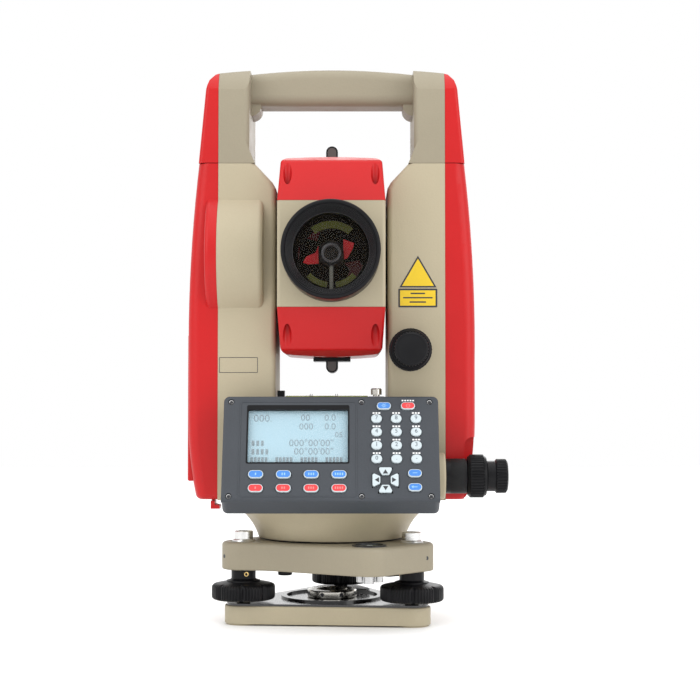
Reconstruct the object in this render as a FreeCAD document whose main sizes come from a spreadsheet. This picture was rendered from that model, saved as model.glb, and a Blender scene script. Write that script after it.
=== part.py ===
"""A surveying total station: a levelling base (tribrach), an alidade that turns on it about a
vertical axis, and a telescope that turns between the alidade's standards about a level axis.

Millimetres. +Z is up along the vertical axis, the origin is on that axis in the plane of the
levelling base's feet, -Y is the keyboard side and +X is the side of the horizontal tangent screw.
"""
import FreeCAD
import Part
import Sketcher

import math
import os
import re

V = FreeCAD.Vector

# ---------------------------------------------------------------- driving sizes
SIZES = {
    # heights above the feet
    "overall_height": 326.8,
    "axis_height": 213,
    "split_height": 267.5,
    "body_bottom": 71.4,
    "deck_height": 124,
    # half widths from the vertical axis
    "gap_half": 32.6,
    "joint_half": 66,
    "cover_half": 83.6,
    "depth_half": 30,
    # levelling base
    "tribrach_turn": 5,
    "foot_circle": 56.5,
    "base_corner": 10.8,
    "base_top": 11.2,
    "pad_height": 1,
    "plate_thick": 1.2,
    "thread_radius": 7.94,
    "nut_radius": 14.7,
    "nut_top": 17,
    "head_corner": 12.5,
    "head_bottom": 31.7,
    "head_top": 47.6,
    "vial_reach": 58.7,
    "vial_angle": -63.4,
    "knob_radius": 18.4,
    "spindle_radius": 4,
    # vertical axis
    "axle_radius": 9,
    "running_gap": 0.05,
    "circle_radius": 36,
    "flare_bottom": 48.6,
    "flare_top": 65.9,
    # keyboard, in the plane of its face
    "keyboard_tilt": 20.6,
    "keyboard_y": -60.65,
    "keyboard_z": 103.3,
    "keyboard_half": 60.6,
    "face_half": 30.25,
    "case_deep": 12,
    "key_gap": 0.3,
    "key_rise": 1.4,
    "key_root": 3.2,
    # coaxial clamp and tangent screws
    "drive_x": 45,
    "drive_z": 158,
    "side_drive_y": -42.5,
    "side_drive_z": 86.2,
    # telescope, measured from its turning axis
    "scope_half": 31,
    "scope_deep": 48,
    "block_half": 30.4,
    "scope_top": 58.35,
    "objective_radius": 27.8,
    "objective_reach": 75,
    "lens_radius": 21.7,
    "tube_bore": 24,
    "trunnion_radius": 8,
    # standards and handle
    "bulge_radius": 43.5,
    "bulge_rise": 1.5,
    "wall": 3.5,
    "grip_half": 13,
    "opening_half": 48.3,
    "grip_bottom": 305,
    "crown_radius": 430,
}

doc = FreeCAD.newDocument("TotalStation")
sheet = doc.addObject("Spreadsheet::Sheet", "Sizes")
for row, (alias, number) in enumerate(SIZES.items(), start=1):
    sheet.set("A%d" % row, alias)
    sheet.set("B%d" % row, str(number))
    sheet.setAlias("B%d" % row, alias)
doc.recompute()

# ---------------------------------------------------------------- helpers
WORD = re.compile(r"[A-Za-z_][A-Za-z0-9_]*")
AXES = {"XY": "XY_Plane", "XZ": "XZ_Plane", "YZ": "YZ_Plane"}
FACING = {  # the turn that carries a part made along +Z to the direction named
    "+Z": FreeCAD.Rotation(),
    "-Y": FreeCAD.Rotation(V(1, 0, 0), 90),
    "+Y": FreeCAD.Rotation(V(1, 0, 0), -90),
    "+X": FreeCAD.Rotation(V(0, 1, 0), 90),
    "-X": FreeCAD.Rotation(V(0, 1, 0), -90),
}
parts = {}


def bound(text):
    """The text with every size name pointed at the sheet."""
    return WORD.sub(lambda m: "Sizes." + m.group() if m.group() in SIZES else m.group(), str(text))


def number(text):
    """What the text works out to with the sheet's present values."""
    result = sheet.evalExpression(bound(text))
    return float(getattr(result, "Value", result))


def pin(sketch, kind, geometry, corner, text):
    """Hold one coordinate of a sketch point to a size."""
    if abs(number(text)) < 1e-7:
        axis = -2 if kind == "DistanceX" else -1
        sketch.addConstraint(Sketcher.Constraint("PointOnObject", geometry, corner, axis))
        return
    index = sketch.addConstraint(Sketcher.Constraint(kind, -1, 1, geometry, corner, number(text)))
    sketch.setExpression("Constraints[%d]" % index, bound(text))


def arc_between(start, end, radius):
    """The short anticlockwise arc from start to end."""
    chord = end - start
    half = chord.Length / 2
    sagitta = radius - math.sqrt(max(radius * radius - half * half, 0))
    outward = V(chord.y, -chord.x, 0).normalize() * sagitta
    return Part.Arc(start, (start + end) / 2 + outward, end)


def outline(sketch, points):
    """A closed outline through (x, y) or (x, y, radius of the arc that arrives there).

    A positive radius turns anticlockwise on the way, a negative one clockwise.
    """
    first = sketch.GeometryCount
    count = len(points)
    at = [V(number(p[0]), number(p[1]), 0) for p in points]
    begins, ends = [], []
    for i in range(count):
        j = (i + 1) % count
        radius = number(points[j][2]) if len(points[j]) == 3 else 0
        if radius > 0:
            sketch.addGeometry(arc_between(at[i], at[j], radius), False)
        elif radius < 0:
            sketch.addGeometry(arc_between(at[j], at[i], -radius), False)
        else:
            sketch.addGeometry(Part.LineSegment(at[i], at[j]), False)
        begins.append(2 if radius < 0 else 1)
        ends.append(1 if radius < 0 else 2)
    for i in range(count):
        j = (i + 1) % count
        sketch.addConstraint(
            Sketcher.Constraint("Coincident", first + i, ends[i], first + j, begins[j]))
    for i, point in enumerate(points):
        pin(sketch, "DistanceX", first + i, begins[i], point[0])
        pin(sketch, "DistanceY", first + i, begins[i], point[1])
    for i in range(count):
        arrives = points[(i + 1) % count]
        if len(arrives) == 3:
            text = "abs(%s)" % arrives[2]
            index = sketch.addConstraint(Sketcher.Constraint("Radius", first + i, number(text)))
            sketch.setExpression("Constraints[%d]" % index, bound(text))


def ring(sketch, x, y, radius):
    """A circle about (x, y)."""
    centre = V(number(x), number(y), 0)
    index = sketch.addGeometry(Part.Circle(centre, V(0, 0, 1), number(radius)), False)
    pin(sketch, "DistanceX", index, 3, x)
    pin(sketch, "DistanceY", index, 3, y)
    size = sketch.addConstraint(Sketcher.Constraint("Radius", index, number(radius)))
    sketch.setExpression("Constraints[%d]" % size, bound(radius))


def capsule(sketch, x, y, width, height):
    """A slot shape with round ends, lying along its longer side."""
    upright = number(width) < number(height)
    long_side, short_side = (height, width) if upright else (width, height)
    reach = "((%s) - (%s)) / 2" % (long_side, short_side)
    radius = "(%s) / 2" % short_side
    if upright:
        left, right = "(%s) - %s" % (x, radius), "(%s) + %s" % (x, radius)
        low, high = "(%s) - %s" % (y, reach), "(%s) + %s" % (y, reach)
        corner = [(left, high), (left, low), (right, low), (right, high)]
    else:
        left, right = "(%s) - %s" % (x, reach), "(%s) + %s" % (x, reach)
        low, high = "(%s) - %s" % (y, radius), "(%s) + %s" % (y, radius)
        corner = [(left, low), (right, low), (right, high), (left, high)]
    first = sketch.GeometryCount
    a, b, c, d = [V(number(p[0]), number(p[1]), 0) for p in corner]
    sketch.addGeometry(Part.LineSegment(a, b), False)
    sketch.addGeometry(arc_between(b, c, b.distanceToPoint(c) / 2), False)
    sketch.addGeometry(Part.LineSegment(c, d), False)
    sketch.addGeometry(arc_between(d, a, d.distanceToPoint(a) / 2), False)
    for i in range(4):
        sketch.addConstraint(
            Sketcher.Constraint("Coincident", first + i, 2, first + (i + 1) % 4, 1))
    for geometry, end, point in ((first, 1, corner[0]), (first, 2, corner[1]),
                                 (first + 2, 1, corner[2]), (first + 2, 2, corner[3])):
        pin(sketch, "DistanceX", geometry, end, point[0])
        pin(sketch, "DistanceY", geometry, end, point[1])
    along = "DistanceY" if upright else "DistanceX"
    pin(sketch, along, first + 1, 3, corner[1][1] if upright else corner[1][0])
    pin(sketch, along, first + 3, 3, corner[3][1] if upright else corner[3][0])


class Piece:
    """One PartDesign body, built by adding to it and cutting from it."""

    def __init__(self, label):
        self.body = doc.addObject("PartDesign::Body", label)
        self.body.Label = label
        self.body.AllowCompound = True
        self.label = label

    def plane(self, plane):
        for feature in self.body.Origin.OriginFeatures:
            if feature.Role == AXES[plane]:
                return feature

    def sketch(self, plane, draw, start="0"):
        sketch = self.body.newObject("Sketcher::SketchObject", self.label + "_sketch")
        sketch.AttachmentSupport = (self.plane(plane), [""])
        sketch.MapMode = "FlatFace"
        away = "-(%s)" % start if plane == "XZ" else "(%s)" % start
        sketch.setExpression("AttachmentOffset.Base.z", bound(away))
        draw(sketch)
        return sketch

    def add(self, plane, draw, start, end):
        """Pad what draw draws on the plane, from start to end along the plane's own axis."""
        pad = self.body.newObject("PartDesign::Pad", self.label + "_pad")
        pad.Profile = self.sketch(plane, draw, start)
        pad.setExpression("Length", bound("(%s) - (%s)" % (end, start)))
        pad.Reversed = plane == "XZ"
        self.body.Tip = pad
        doc.recompute()
        return self

    def cut(self, plane, draw, start, end):
        """Cut the same prism away."""
        before = self.body.Shape.Volume
        pocket = self.body.newObject("PartDesign::Pocket", self.label + "_pocket")
        pocket.Profile = self.sketch(plane, draw, start)
        pocket.setExpression("Length", bound("(%s) - (%s)" % (end, start)))
        pocket.Reversed = plane != "XZ"
        self.body.Tip = pocket
        doc.recompute()
        if not self.body.Shape.Volume < before - 1e-3:
            raise RuntimeError("a pocket of %s cut nothing" % self.label)
        return self

    def turn(self, profile):
        """Turn a profile of (radius, height) about the body's Z axis."""
        spin = self.body.newObject("PartDesign::Revolution", self.label + "_turn")
        spin.Profile = self.sketch("XZ", lambda s: outline(s, profile))
        spin.ReferenceAxis = (spin.Profile[0], ["V_Axis"])
        spin.Angle = 360
        self.body.Tip = spin
        doc.recompute()
        return self

    def flutes(self, radius, size, count, low, high):
        """Upright grooves around a knob's rim."""
        before = self.body.Shape.Volume
        self.cut("XY", lambda s: ring(s, radius, "0", size), low, high)
        pattern = self.body.newObject("PartDesign::PolarPattern", self.label + "_flutes")
        pattern.Originals = [self.body.Tip]
        pattern.Axis = (self.body.Tip.Profile[0], ["N_Axis"])
        pattern.Angle = 360
        pattern.Occurrences = count
        self.body.Tip = pattern
        doc.recompute()
        if not self.body.Shape.Volume < before - 1e-3:
            raise RuntimeError("the flutes of %s cut nothing" % self.label)
        return self

    def soften(self, radius, test, kind="Fillet"):
        """Round (or chamfer) the edges for which test(middle, direction or None) holds."""
        base = self.body.Tip
        chosen = []
        for i, edge in enumerate(base.Shape.Edges, start=1):
            straight = edge.Curve.TypeId == "Part::GeomLine"
            way = (edge.Vertexes[-1].Point - edge.Vertexes[0].Point) if straight else None
            if test(edge.CenterOfMass, way.normalize() if way else None):
                chosen.append("Edge%d" % i)
        if not chosen:
            raise RuntimeError("no edge of %s was chosen" % self.label)
        feature = self.body.newObject("PartDesign::" + kind, self.label + "_edge")
        feature.Base = (base, chosen)
        feature.setExpression("Radius" if kind == "Fillet" else "Size", bound(radius))
        self.body.Tip = feature
        doc.recompute()
        if "Invalid" in feature.State or "Error" in feature.State or feature.Shape.isNull():
            raise RuntimeError("%s: the edges would not round" % self.label)
        return self

    def place(self, x="0", y="0", z="0", facing="+Z"):
        """Put the body at a point, with its Z axis facing a direction."""
        self.body.Placement = FreeCAD.Placement(V(number(x), number(y), number(z)), FACING[facing])
        for axis, text in (("x", x), ("y", y), ("z", z)):
            self.body.setExpression("Placement.Base." + axis, bound(text))
        return self

    def on_tribrach(self):
        """Turn the body with the levelling base, which stands slightly turned from the alidade."""
        turn = FreeCAD.Rotation(V(0, 0, -1), number("tribrach_turn"))
        self.body.Placement = FreeCAD.Placement(self.body.Placement.Base, turn)
        self.body.setExpression("Placement.Rotation.Angle", bound("tribrach_turn"))
        return self

    def on_keyboard(self):
        """Lay the body's XY plane on the keyboard's face, Y up it and Z out of it."""
        lean = FreeCAD.Rotation(V(1, 0, 0), 90 - number("keyboard_tilt"))
        self.body.Placement = FreeCAD.Placement(
            V(0, number("keyboard_y"), number("keyboard_z")), lean)
        self.body.setExpression("Placement.Base.y", bound("keyboard_y"))
        self.body.setExpression("Placement.Base.z", bound("keyboard_z"))
        self.body.setExpression("Placement.Rotation.Angle", bound("90 - keyboard_tilt"))
        return self

    def done(self):
        parts[self.label] = self.body
        return self.body


def group(label, bodies):
    """Several alike solids as one sub-part."""
    compound = doc.addObject("Part::Compound", label)
    compound.Label = label
    compound.Links = bodies
    parts[label] = compound
    return compound


def box(x0, y0, x1, y1):
    """The outline of a rectangle between two corners."""
    return lambda s: outline(s, [(x0, y0), (x1, y0), (x1, y1), (x0, y1)])


def shape(*points):
    """An outline through the points given."""
    return lambda s: outline(s, list(points))


def rounds(*circles):
    """Circles, each given as x, y and radius."""

    def draw(sketch):
        for x, y, radius in circles:
            ring(sketch, x, y, radius)

    return draw


def capsules(grow, keys):
    """Slot shapes for keys of (x, y, width, height), each grown all round."""

    def draw(sketch):
        for x, y, width, height in keys:
            capsule(sketch, str(x), str(y), "%s + 2 * (%s)" % (width, grow),
                    "%s + 2 * (%s)" % (height, grow))

    return draw


def upright(c, way):
    """A straight edge along Z."""
    return way is not None and abs(way.z) > 0.999


def crossways(c, way):
    """A straight edge along Y."""
    return way is not None and abs(way.y) > 0.999


# ---------------------------------------------------------------- levelling base
VIAL_X = "(vial_reach * cos(vial_angle))"
VIAL_Y = "(vial_reach * sin(vial_angle))"
FEET = {"right": 330, "rear": 90, "left": 210}  # degrees round the levelling base


def foot(angle, radius="foot_circle"):
    """The x and y of a point over a foot, on a circle of the given radius."""
    return "(%s) * cos(%s)" % (radius, angle), "(%s) * sin(%s)" % (radius, angle)


def corners(corner):
    """A triangle whose corners, rounded by corner, are centred over the feet."""
    return [foot(angle, "foot_circle + 2 * (%s)" % corner) for angle in (210, 330, 90)]


def over_feet(radius):
    """A circle over each foot."""
    return rounds(*[foot(angle) + (radius,) for angle in FEET.values()])


def base_plate():
    """The cast foot plate, with a pad under each corner and a hole for the tripod's nut."""
    piece = Piece("base_plate")
    piece.add("XY", shape(*corners("base_corner")), "pad_height", "base_top")
    piece.soften("base_corner", upright)
    piece.soften("1", lambda c, way: c.z > number("base_top") - 0.01)
    piece.add("XY", over_feet("base_corner - 1"), "0", "pad_height + 1")
    piece.cut("XY", rounds(("0", "0", "nut_radius - 2.5")), "-1", "base_top + 1")
    piece.cut("XY", over_feet("6"), "6", "base_top + 1")
    piece.on_tribrach().done()


def spring_plate():
    """The thin sprung sheet on the foot plate, with a raised ring round the nut."""
    piece = Piece("spring_plate")
    top = "base_top + plate_thick"
    piece.add("XY", shape(*corners("base_corner - 1.2")), "base_top + 0.02", top)
    piece.soften("base_corner - 1.2", upright)
    piece.add("XY", rounds(("0", "0", "30.4"), ("0", "0", "27")), top + " - 0.2", top + " + 1.3")
    piece.cut("XY", rounds(("0", "0", "nut_radius - 2.3")), "0", "nut_top")
    piece.cut("XY", over_feet("spindle_radius + 0.8"), "0", "nut_top")
    piece.on_tribrach().done()


def tripod_nut():
    """The plated nut that the tripod's screw goes up into."""
    under, over = "nut_radius - 2.7", "base_top + plate_thick + 0.1"
    Piece("tripod_nut").turn([
        ("thread_radius", "0"), (under, "0"), (under, over), ("nut_radius - 0.5", over),
        ("nut_radius", over + " + 0.5"), ("nut_radius", "nut_top - 0.6"),
        ("nut_radius - 0.6", "nut_top"), ("thread_radius + 1.2", "nut_top"),
        ("thread_radius", "nut_top - 1.2"),
    ]).on_tribrach().done()


def foot_screw(name, angle):
    """A levelling screw: a fluted knob moulded on a steel spindle that stands in a socket."""
    spindle = "spindle_radius"
    piece = Piece("foot_screw_" + name)
    piece.turn([
        ("0", "6.6"), (spindle + " - 1.4", "6.6"), (spindle, "8"), (spindle, "14.2"),
        ("knob_radius - 1", "14.2"), ("knob_radius", "15.2"), ("knob_radius", "22"),
        ("knob_radius - 1", "23"), ("knob_radius - 3.2", "23.6"), ("9.7", "24.7"), ("7.1", "26"),
        ("7.1", "head_bottom - 0.4"), (spindle, "head_bottom - 0.4"), (spindle, "50"), ("0", "50"),
    ])
    piece.flutes("knob_radius + 0.6", "1.7", 8, "14", "26")
    at_x, at_y = foot("%s - tribrach_turn" % angle)
    piece.place(at_x, at_y).done()


def tribrach_head():
    """The cast upper plate, swelling forward to hold the circular vial."""
    left, _, back = corners("head_corner")
    piece = Piece("tribrach_head")
    waist = ("-34.6", left[1])
    nose = (VIAL_X + " + 3.75", VIAL_Y + " - 17")
    right = ("64.2", "-29.65")
    piece.add("XY", shape(left, waist, nose, right, back), "head_bottom", "head_top")

    def near(corner):
        x, y = number(corner[0]), number(corner[1])
        return lambda c, way: upright(c, way) and math.hypot(c.x - x, c.y - y) < 0.5

    piece.soften("30", near(waist))
    piece.soften("13.6", near(nose))
    for corner in (left, right, back):
        piece.soften("head_corner", near(corner))
    piece.soften("2.2", lambda c, way: c.z > number("head_top") - 0.01)
    piece.soften("1", lambda c, way: c.z < number("head_bottom") + 0.01)
    piece.cut("XY", over_feet("5.6"), "head_bottom - 1", "head_top + 1")
    piece.cut("XY", rounds(("0", "0", "30.8")), "head_bottom - 1", "head_top + 1")
    piece.cut("XY", rounds((VIAL_X, VIAL_Y, "9.9")), "35.8", "head_top + 1")
    piece.cut("XY", vial_feet("1.4"), "head_bottom - 1", "36")
    piece.on_tribrach().done()


def vial_feet(radius):
    """A circle at each of the circular vial's three adjusting screws."""
    return rounds(*[
        (VIAL_X + " + 5.6 * cos(%d)" % angle, VIAL_Y + " + 5.6 * sin(%d)" % angle, radius)
        for angle in (30, 150, 270)])


def foot_screw_bushes():
    """The threaded sleeves in the head that the levelling screws turn in."""
    bodies = []
    for name, angle in FEET.items():
        piece = Piece("bush_" + name)
        bore = "spindle_radius + 0.3"
        piece.turn([
            (bore, "head_bottom"), ("5.5", "head_bottom"), ("5.5", "head_top + 0.1"),
            ("6.7", "head_top + 0.1"), ("6.3", "head_top + 0.9"), ("5.5", "head_top + 1.4"),
            ("5.5", "head_top + 5.6"), ("5.1", "head_top + 6"), ("2.6", "head_top + 6"),
            ("2.6", "head_top + 4.6"), ("0", "head_top + 4.6"), ("0", "head_top + 3.4"),
            (bore, "head_top + 3.4"),
        ])
        at_x, at_y = foot("%s - tribrach_turn" % angle)
        bodies.append(piece.place(at_x, at_y).body)
    group("foot_screw_bushes", bodies)


def at_vial(piece):
    """Place a turned body on the circular vial's axis."""
    angle = "vial_angle - tribrach_turn"
    return piece.place("vial_reach * cos(%s)" % angle, "vial_reach * sin(%s)" % angle)


def circular_vial():
    """The round level: a metal cup, its glass, and three capstan screws under it."""
    at_vial(Piece("circular_vial_cup").turn([
        ("0", "36"), ("9.7", "36"), ("9.7", "head_top + 0.5"), ("9.2", "head_top + 0.9"),
        ("7.9", "head_top + 0.9"), ("7.9", "38"), ("0", "38"),
    ])).done()
    at_vial(Piece("circular_vial_glass").turn([
        ("0", "38.1"), ("7.8", "38.1"), ("7.8", "head_top - 0.4"), ("5", "head_top"),
        ("2", "head_top + 0.25"), ("0", "head_top + 0.25"),
    ])).done()
    piece = Piece("vial_adjusting_screws")
    piece.add("XY", vial_feet("2.8"), "head_bottom - 4.6", "head_bottom - 0.1")
    piece.add("XY", vial_feet("1.2"), "head_bottom - 0.2", "35.9")
    piece.on_tribrach().done()


def lock_lever():
    """The short lever under the head that locks the instrument into the base."""
    low, high = "head_bottom - 6", "head_bottom - 1.2"
    piece = Piece("lock_lever")
    piece.add("XY", shape(("27.4", "-12.5"), ("34", "-15.5"), ("48", "-5.5"), ("44.5", "1")),
              low, high)
    piece.soften("2.4", upright)
    piece.add("XY", rounds(("31.6", "-10", "3.6")), high + " - 0.5", "head_bottom - 0.35")
    piece.done()


def axis_socket():
    """The fixed core of the head: the bearing of the vertical axis and its black collar."""
    bore = "axle_radius + running_gap"
    Piece("axis_socket").turn([
        (bore, "head_bottom"), ("30.7", "head_bottom"), ("30.7", "head_top + 0.1"),
        ("42", "head_top + 0.1"), ("42", "flare_bottom - 0.4"), ("20", "flare_bottom - 0.4"),
        ("20", "52"), ("14", "52"), ("14", "58"), (bore, "58"),
    ]).done()
    Piece("horizontal_circle").turn([
        ("14.1", "52.05"), ("circle_radius", "52.05"), ("circle_radius", "53.85"),
        ("14.1", "53.85"),
    ]).done()


# ---------------------------------------------------------------- alidade
def axis_spindle():
    """The steel spindle that the alidade turns on."""
    Piece("axis_spindle").turn([
        ("0", "34"), ("axle_radius - 1", "34"), ("axle_radius", "35"), ("axle_radius", "61"),
        ("22", "61"), ("22", "65"), ("0", "65"),
    ]).done()


def alidade_base():
    """The flared foot of the alidade, the deck between the standards and the keyboard's bracket."""
    piece = Piece("alidade_base")
    piece.turn([
        ("38.5", "61"), ("38.5", "flare_bottom"), ("43.6", "flare_bottom"),
        ("44", "flare_bottom + 0.5"), ("56.6", "flare_top", "-32"), ("0", "flare_top"),
        ("0", "65.1"), ("22.1", "65.1"), ("22.1", "61"),
    ])
    deep = "depth_half - 0.1"
    piece.add("XY", box("-57", "-(%s)" % deep, "57", deep), "flare_top - 0.1", "body_bottom")
    piece.add("XY", box("-(gap_half - 0.2)", "-(%s)" % deep, "gap_half - 0.2", deep),
              "body_bottom - 0.1", "deck_height")
    front = "-(depth_half + 0.1)"
    piece.add("YZ", shape((front, "70"), (front, "deck_height"), ("-40", "deck_height"),
                          ("-60.3", "70")), "-52", "46")
    piece.add("XY", box("-(gap_half - 0.2)", "-(depth_half + 0.2)", "gap_half - 0.2", "-28"),
              "70", "deck_height")
    piece.add("XY", box("-52", "-(depth_half + 0.2)", "46", "-28"), "70", "body_bottom")
    piece.done()


def standard_outline(side):
    """The front view of a standard, with its top inner corner cut back for the telescope."""
    return shape(
        ("%d * joint_half" % side, "body_bottom + 0.1"),
        ("%d * gap_half" % side, "body_bottom + 0.1"),
        ("%d * gap_half" % side, "split_height - 14.5"),
        ("%d * (gap_half + 2)" % side, "split_height - 11"),
        ("%d * (gap_half + 12.2)" % side, "split_height - 0.1"),
        ("%d * joint_half" % side, "split_height - 0.1"))


def inner_corner(c, way):
    """A straight edge near the telescope's side of a standard."""
    return (way is not None and abs(way.y) < 0.01 and abs(abs(c.y) - 30) < 0.01
            and abs(c.x) < number("joint_half") - 8 and c.z > 90
            and c.z < number("split_height") - 1)


def left_standard():
    """The left casting: hollow, with the round housing of the vertical circle."""
    centre = "axis_height + bulge_rise"
    piece = Piece("left_standard")
    piece.add("XZ", standard_outline(-1), "-depth_half", "depth_half")
    piece.soften("3", inner_corner)
    piece.add("YZ", rounds(("0", centre, "bulge_radius")), "-joint_half", "-39.6")
    piece.soften("3", lambda c, way: way is None and abs(c.x + number("39.6")) < 0.01)
    piece.cut("YZ", box("-(depth_half - wall)", "body_bottom + wall", "depth_half - wall",
                        "split_height - wall"), "-joint_half - 1", "-(gap_half + 12.5)")
    piece.cut("YZ", rounds(("0", "axis_height", "circle_radius + 3.5")), "-joint_half - 1", "-43")
    piece.cut("YZ", rounds(("0", "axis_height", "14.2")), "-50", "-gap_half + 1")
    piece.done()


def right_standard():
    """The right casting: hollow, with the bosses of both clamp and tangent screws."""
    piece = Piece("right_standard")
    piece.add("XZ", standard_outline(1), "-depth_half", "depth_half")
    piece.soften("3", inner_corner)
    piece.cut("YZ", box("-(depth_half - wall)", "body_bottom + wall", "depth_half - wall",
                        "split_height - wall"), "gap_half + 12.5", "joint_half + 1")
    piece.cut("YZ", rounds(("0", "axis_height", "14.2")), "gap_half - 1", "50")
    reach, level = "side_drive_y", "side_drive_z"
    piece.add("YZ", box(reach, level + " - 9", "-depth_half + 0.1", level + " + 9"), "48", "64.8")
    piece.add("YZ", rounds((reach, level, "9")), "48", "64.8")
    piece.add("YZ", rounds((reach, level, "13.3")), "61", "64.8")
    piece.soften("1.2", lambda c, way: way is None and abs(c.y - number(reach)) < 14
                 and abs(c.x - 64.8) < 0.01)
    piece.done()


def cover_outline(side):
    """The front view of a side cover: its outer face bows gently outward."""
    inner = "%d * (joint_half + 0.1)" % side
    points = [
        (inner, "body_bottom + 0.4"), (inner, "split_height - 0.1"),
        ("%d * (cover_half - 5.8)" % side, "split_height - 0.1"),
        ("%d * cover_half" % side, "150", "%d * 900" % -side),
        ("%d * cover_half" % side, "117"),
        ("%d * (cover_half - 5)" % side, "body_bottom + 0.4", "%d * 230" % -side),
    ]
    return shape(*points)


def side_cover(name, side):
    """A moulded side cover, hollow behind."""
    piece = Piece(name + "_cover")
    deep = "depth_half - 0.2"
    piece.add("XZ", cover_outline(side), "-(%s)" % deep, deep)

    def outer(c, way):
        return abs(abs(c.y) - 29.8) < 0.01 and abs(c.x) > number("cover_half") - 5.5

    piece.soften("6.5", outer)
    piece.soften("3.5", lambda c, way: abs(c.z - number("body_bottom + 0.4")) < 0.01
                 and abs(c.x) > number("cover_half - 6"))
    inner = "joint_half + 0.1"
    if side < 0:
        piece.add("YZ", rounds(("0", "axis_height + bulge_rise", "bulge_radius")),
                  "-(%s) - 7" % inner, "-(%s)" % inner)
        piece.soften("2.4", lambda c, way: way is None and abs(c.x + 73.1) < 0.01)
    near, far = ("-(%s) - 8" % inner, "-(%s) + 1" % inner) if side < 0 else (
        "%s - 1" % inner, "%s + 8" % inner)
    piece.cut("YZ", box("-26", "body_bottom + 4", "26", "split_height - 4"), near, far)
    if side < 0:
        piece.cut("YZ", box("-22", "82", "22", "168"), "-cover_half - 2", "-68")
    else:
        piece.cut("XZ", shape(("77", "60"), ("90", "60"), ("90", "108"), ("81.5", "108"),
                              ("77", "103.5", "5")), "-31", "-19")
    piece.done()


def battery():
    """The battery pack in the left cover, and the latch under it."""
    piece = Piece("battery_pack")
    piece.add("YZ", box("-21.7", "82.3", "21.7", "167.7"), "-cover_half - 0.6", "-68.5")
    piece.soften("1.2", lambda c, way: abs(c.x + number("cover_half + 0.6")) < 0.01)
    piece.done()
    piece = Piece("battery_latch")
    piece.add("XZ", shape(("-70.2", "70.9"), ("-70.2", "66.4"), ("-65", "66.4"), ("-65", "68.2"),
                          ("-67.8", "68.9"), ("-67.8", "70.9")), "-27", "-15")
    piece.add("XY", rounds(("-69", "-21", "1.1")), "70.8", "71.4")
    piece.done()


def crown_at(x):
    """The height of the handle's crown, an arc over both standards, at x from the middle."""
    return "overall_height - crown_radius + sqrt(crown_radius ^ 2 - %s ^ 2)" % x


def round_off_top(piece, near, far):
    """Round the handle's top down to its front and back faces."""
    top = "overall_height"
    for side in (-1, 1):
        outer = "%d * (depth_half + 1)" % side
        piece.cut("YZ", shape(
            (outer, top + " + 2"), ("%d * 9" % side, top + " + 2"),
            ("%d * 9" % side, top + " - 0.7"),
            ("%d * (depth_half - 0.05)" % side, top + " - 16", "%d * -21" % side),
            (outer, top + " - 16")), near, far)


def carrying_handle():
    """The bridge-shaped handle on top of both standards: a rounded grip between two legs."""
    top, deep = "overall_height", "depth_half - 0.1"
    crown, end = crown_at("(opening_half - 0.2)"), crown_at("joint_half")
    piece = Piece("carrying_handle")
    piece.add("XZ", shape(
        ("-(opening_half - 0.2)", "grip_bottom"), ("opening_half - 0.2", "grip_bottom"),
        ("opening_half - 0.2", crown), ("-(opening_half - 0.2)", crown, "crown_radius")),
        "-grip_half", "grip_half")
    piece.soften("6", lambda c, way: way is None or abs(way.x) > 0.99)
    piece.add("XZ", shape(
        ("joint_half", "split_height + 0.1"), ("joint_half", end),
        ("opening_half - 0.2", crown, "crown_radius"), ("opening_half - 0.2", "split_height + 8"),
        ("gap_half + 12.2", "split_height + 0.1")), "-(%s)" % deep, deep)
    piece.add("XZ", shape(
        ("-joint_half", "split_height + 0.1"), ("-(gap_half + 12.2)", "split_height + 0.1"),
        ("-(opening_half - 0.2)", "split_height + 8"), ("-(opening_half - 0.2)", crown),
        ("-joint_half", end, "crown_radius")), "-(%s)" % deep, deep)
    for side in (-1, 1):
        edge = "%d * (opening_half + 0.1)" % side
        web = "%d * (opening_half - 6)" % side
        piece.add("XZ", shape((edge, "grip_bottom - 6"), (web, "grip_bottom", "%d * 6" % -side),
                              (web, "grip_bottom + 1"), (edge, "grip_bottom + 1")), "-10", "10")
    piece.soften("3", lambda c, way: upright(c, way) and abs(abs(c.y) - number(deep)) < 0.01
                 and abs(c.x) < number("opening_half"))
    round_off_top(piece, "-(joint_half + 1)", "joint_half + 1")
    piece.done()


def handle_caps():
    """The two coloured cheeks of the handle, which carry on the line of the side covers."""
    bodies = []
    for name, side in (("left", -1), ("right", 1)):
        piece = Piece("handle_cap_" + name)
        inner = "%d * (joint_half + 0.1)" % side
        piece.add("XZ", shape(
            (inner, "split_height + 0.3"), (inner, "overall_height - 5.2"),
            ("%d * (joint_half + 2.2)" % side, "overall_height - 6"),
            ("%d * (cover_half - 12)" % side, "overall_height - 10"),
            ("%d * (cover_half - 10)" % side, "overall_height - 16"),
            ("%d * (cover_half - 5.9)" % side, "split_height + 0.3")),
            "-(depth_half - 0.2)", "depth_half - 0.2")
        piece.soften("2.3", lambda c, way: abs(abs(c.y) - 29.8) < 0.01 and abs(c.x) > 74
                     and c.z > 270)
        round_off_top(piece, *sorted(("65 * %d" % side, "80 * %d" % side), key=number))
        bodies.append(piece.body)
    group("handle_caps", bodies)


def rear_cover():
    """The moulded cover over the back of the deck, with the optical plummet's port."""
    piece = Piece("rear_cover")
    piece.add("XZ", box("-54", "flare_top + 0.3", "54", "deck_height + 4"),
              "depth_half + 0.1", "depth_half + 17")
    piece.soften("7", lambda c, way: crossways(c, way))
    piece.soften("3", lambda c, way: abs(c.y - number("depth_half + 17")) < 0.01)
    piece.cut("XZ", rounds(("0", "96", "9")), "depth_half + 4", "depth_half + 18")
    piece.done()


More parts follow.
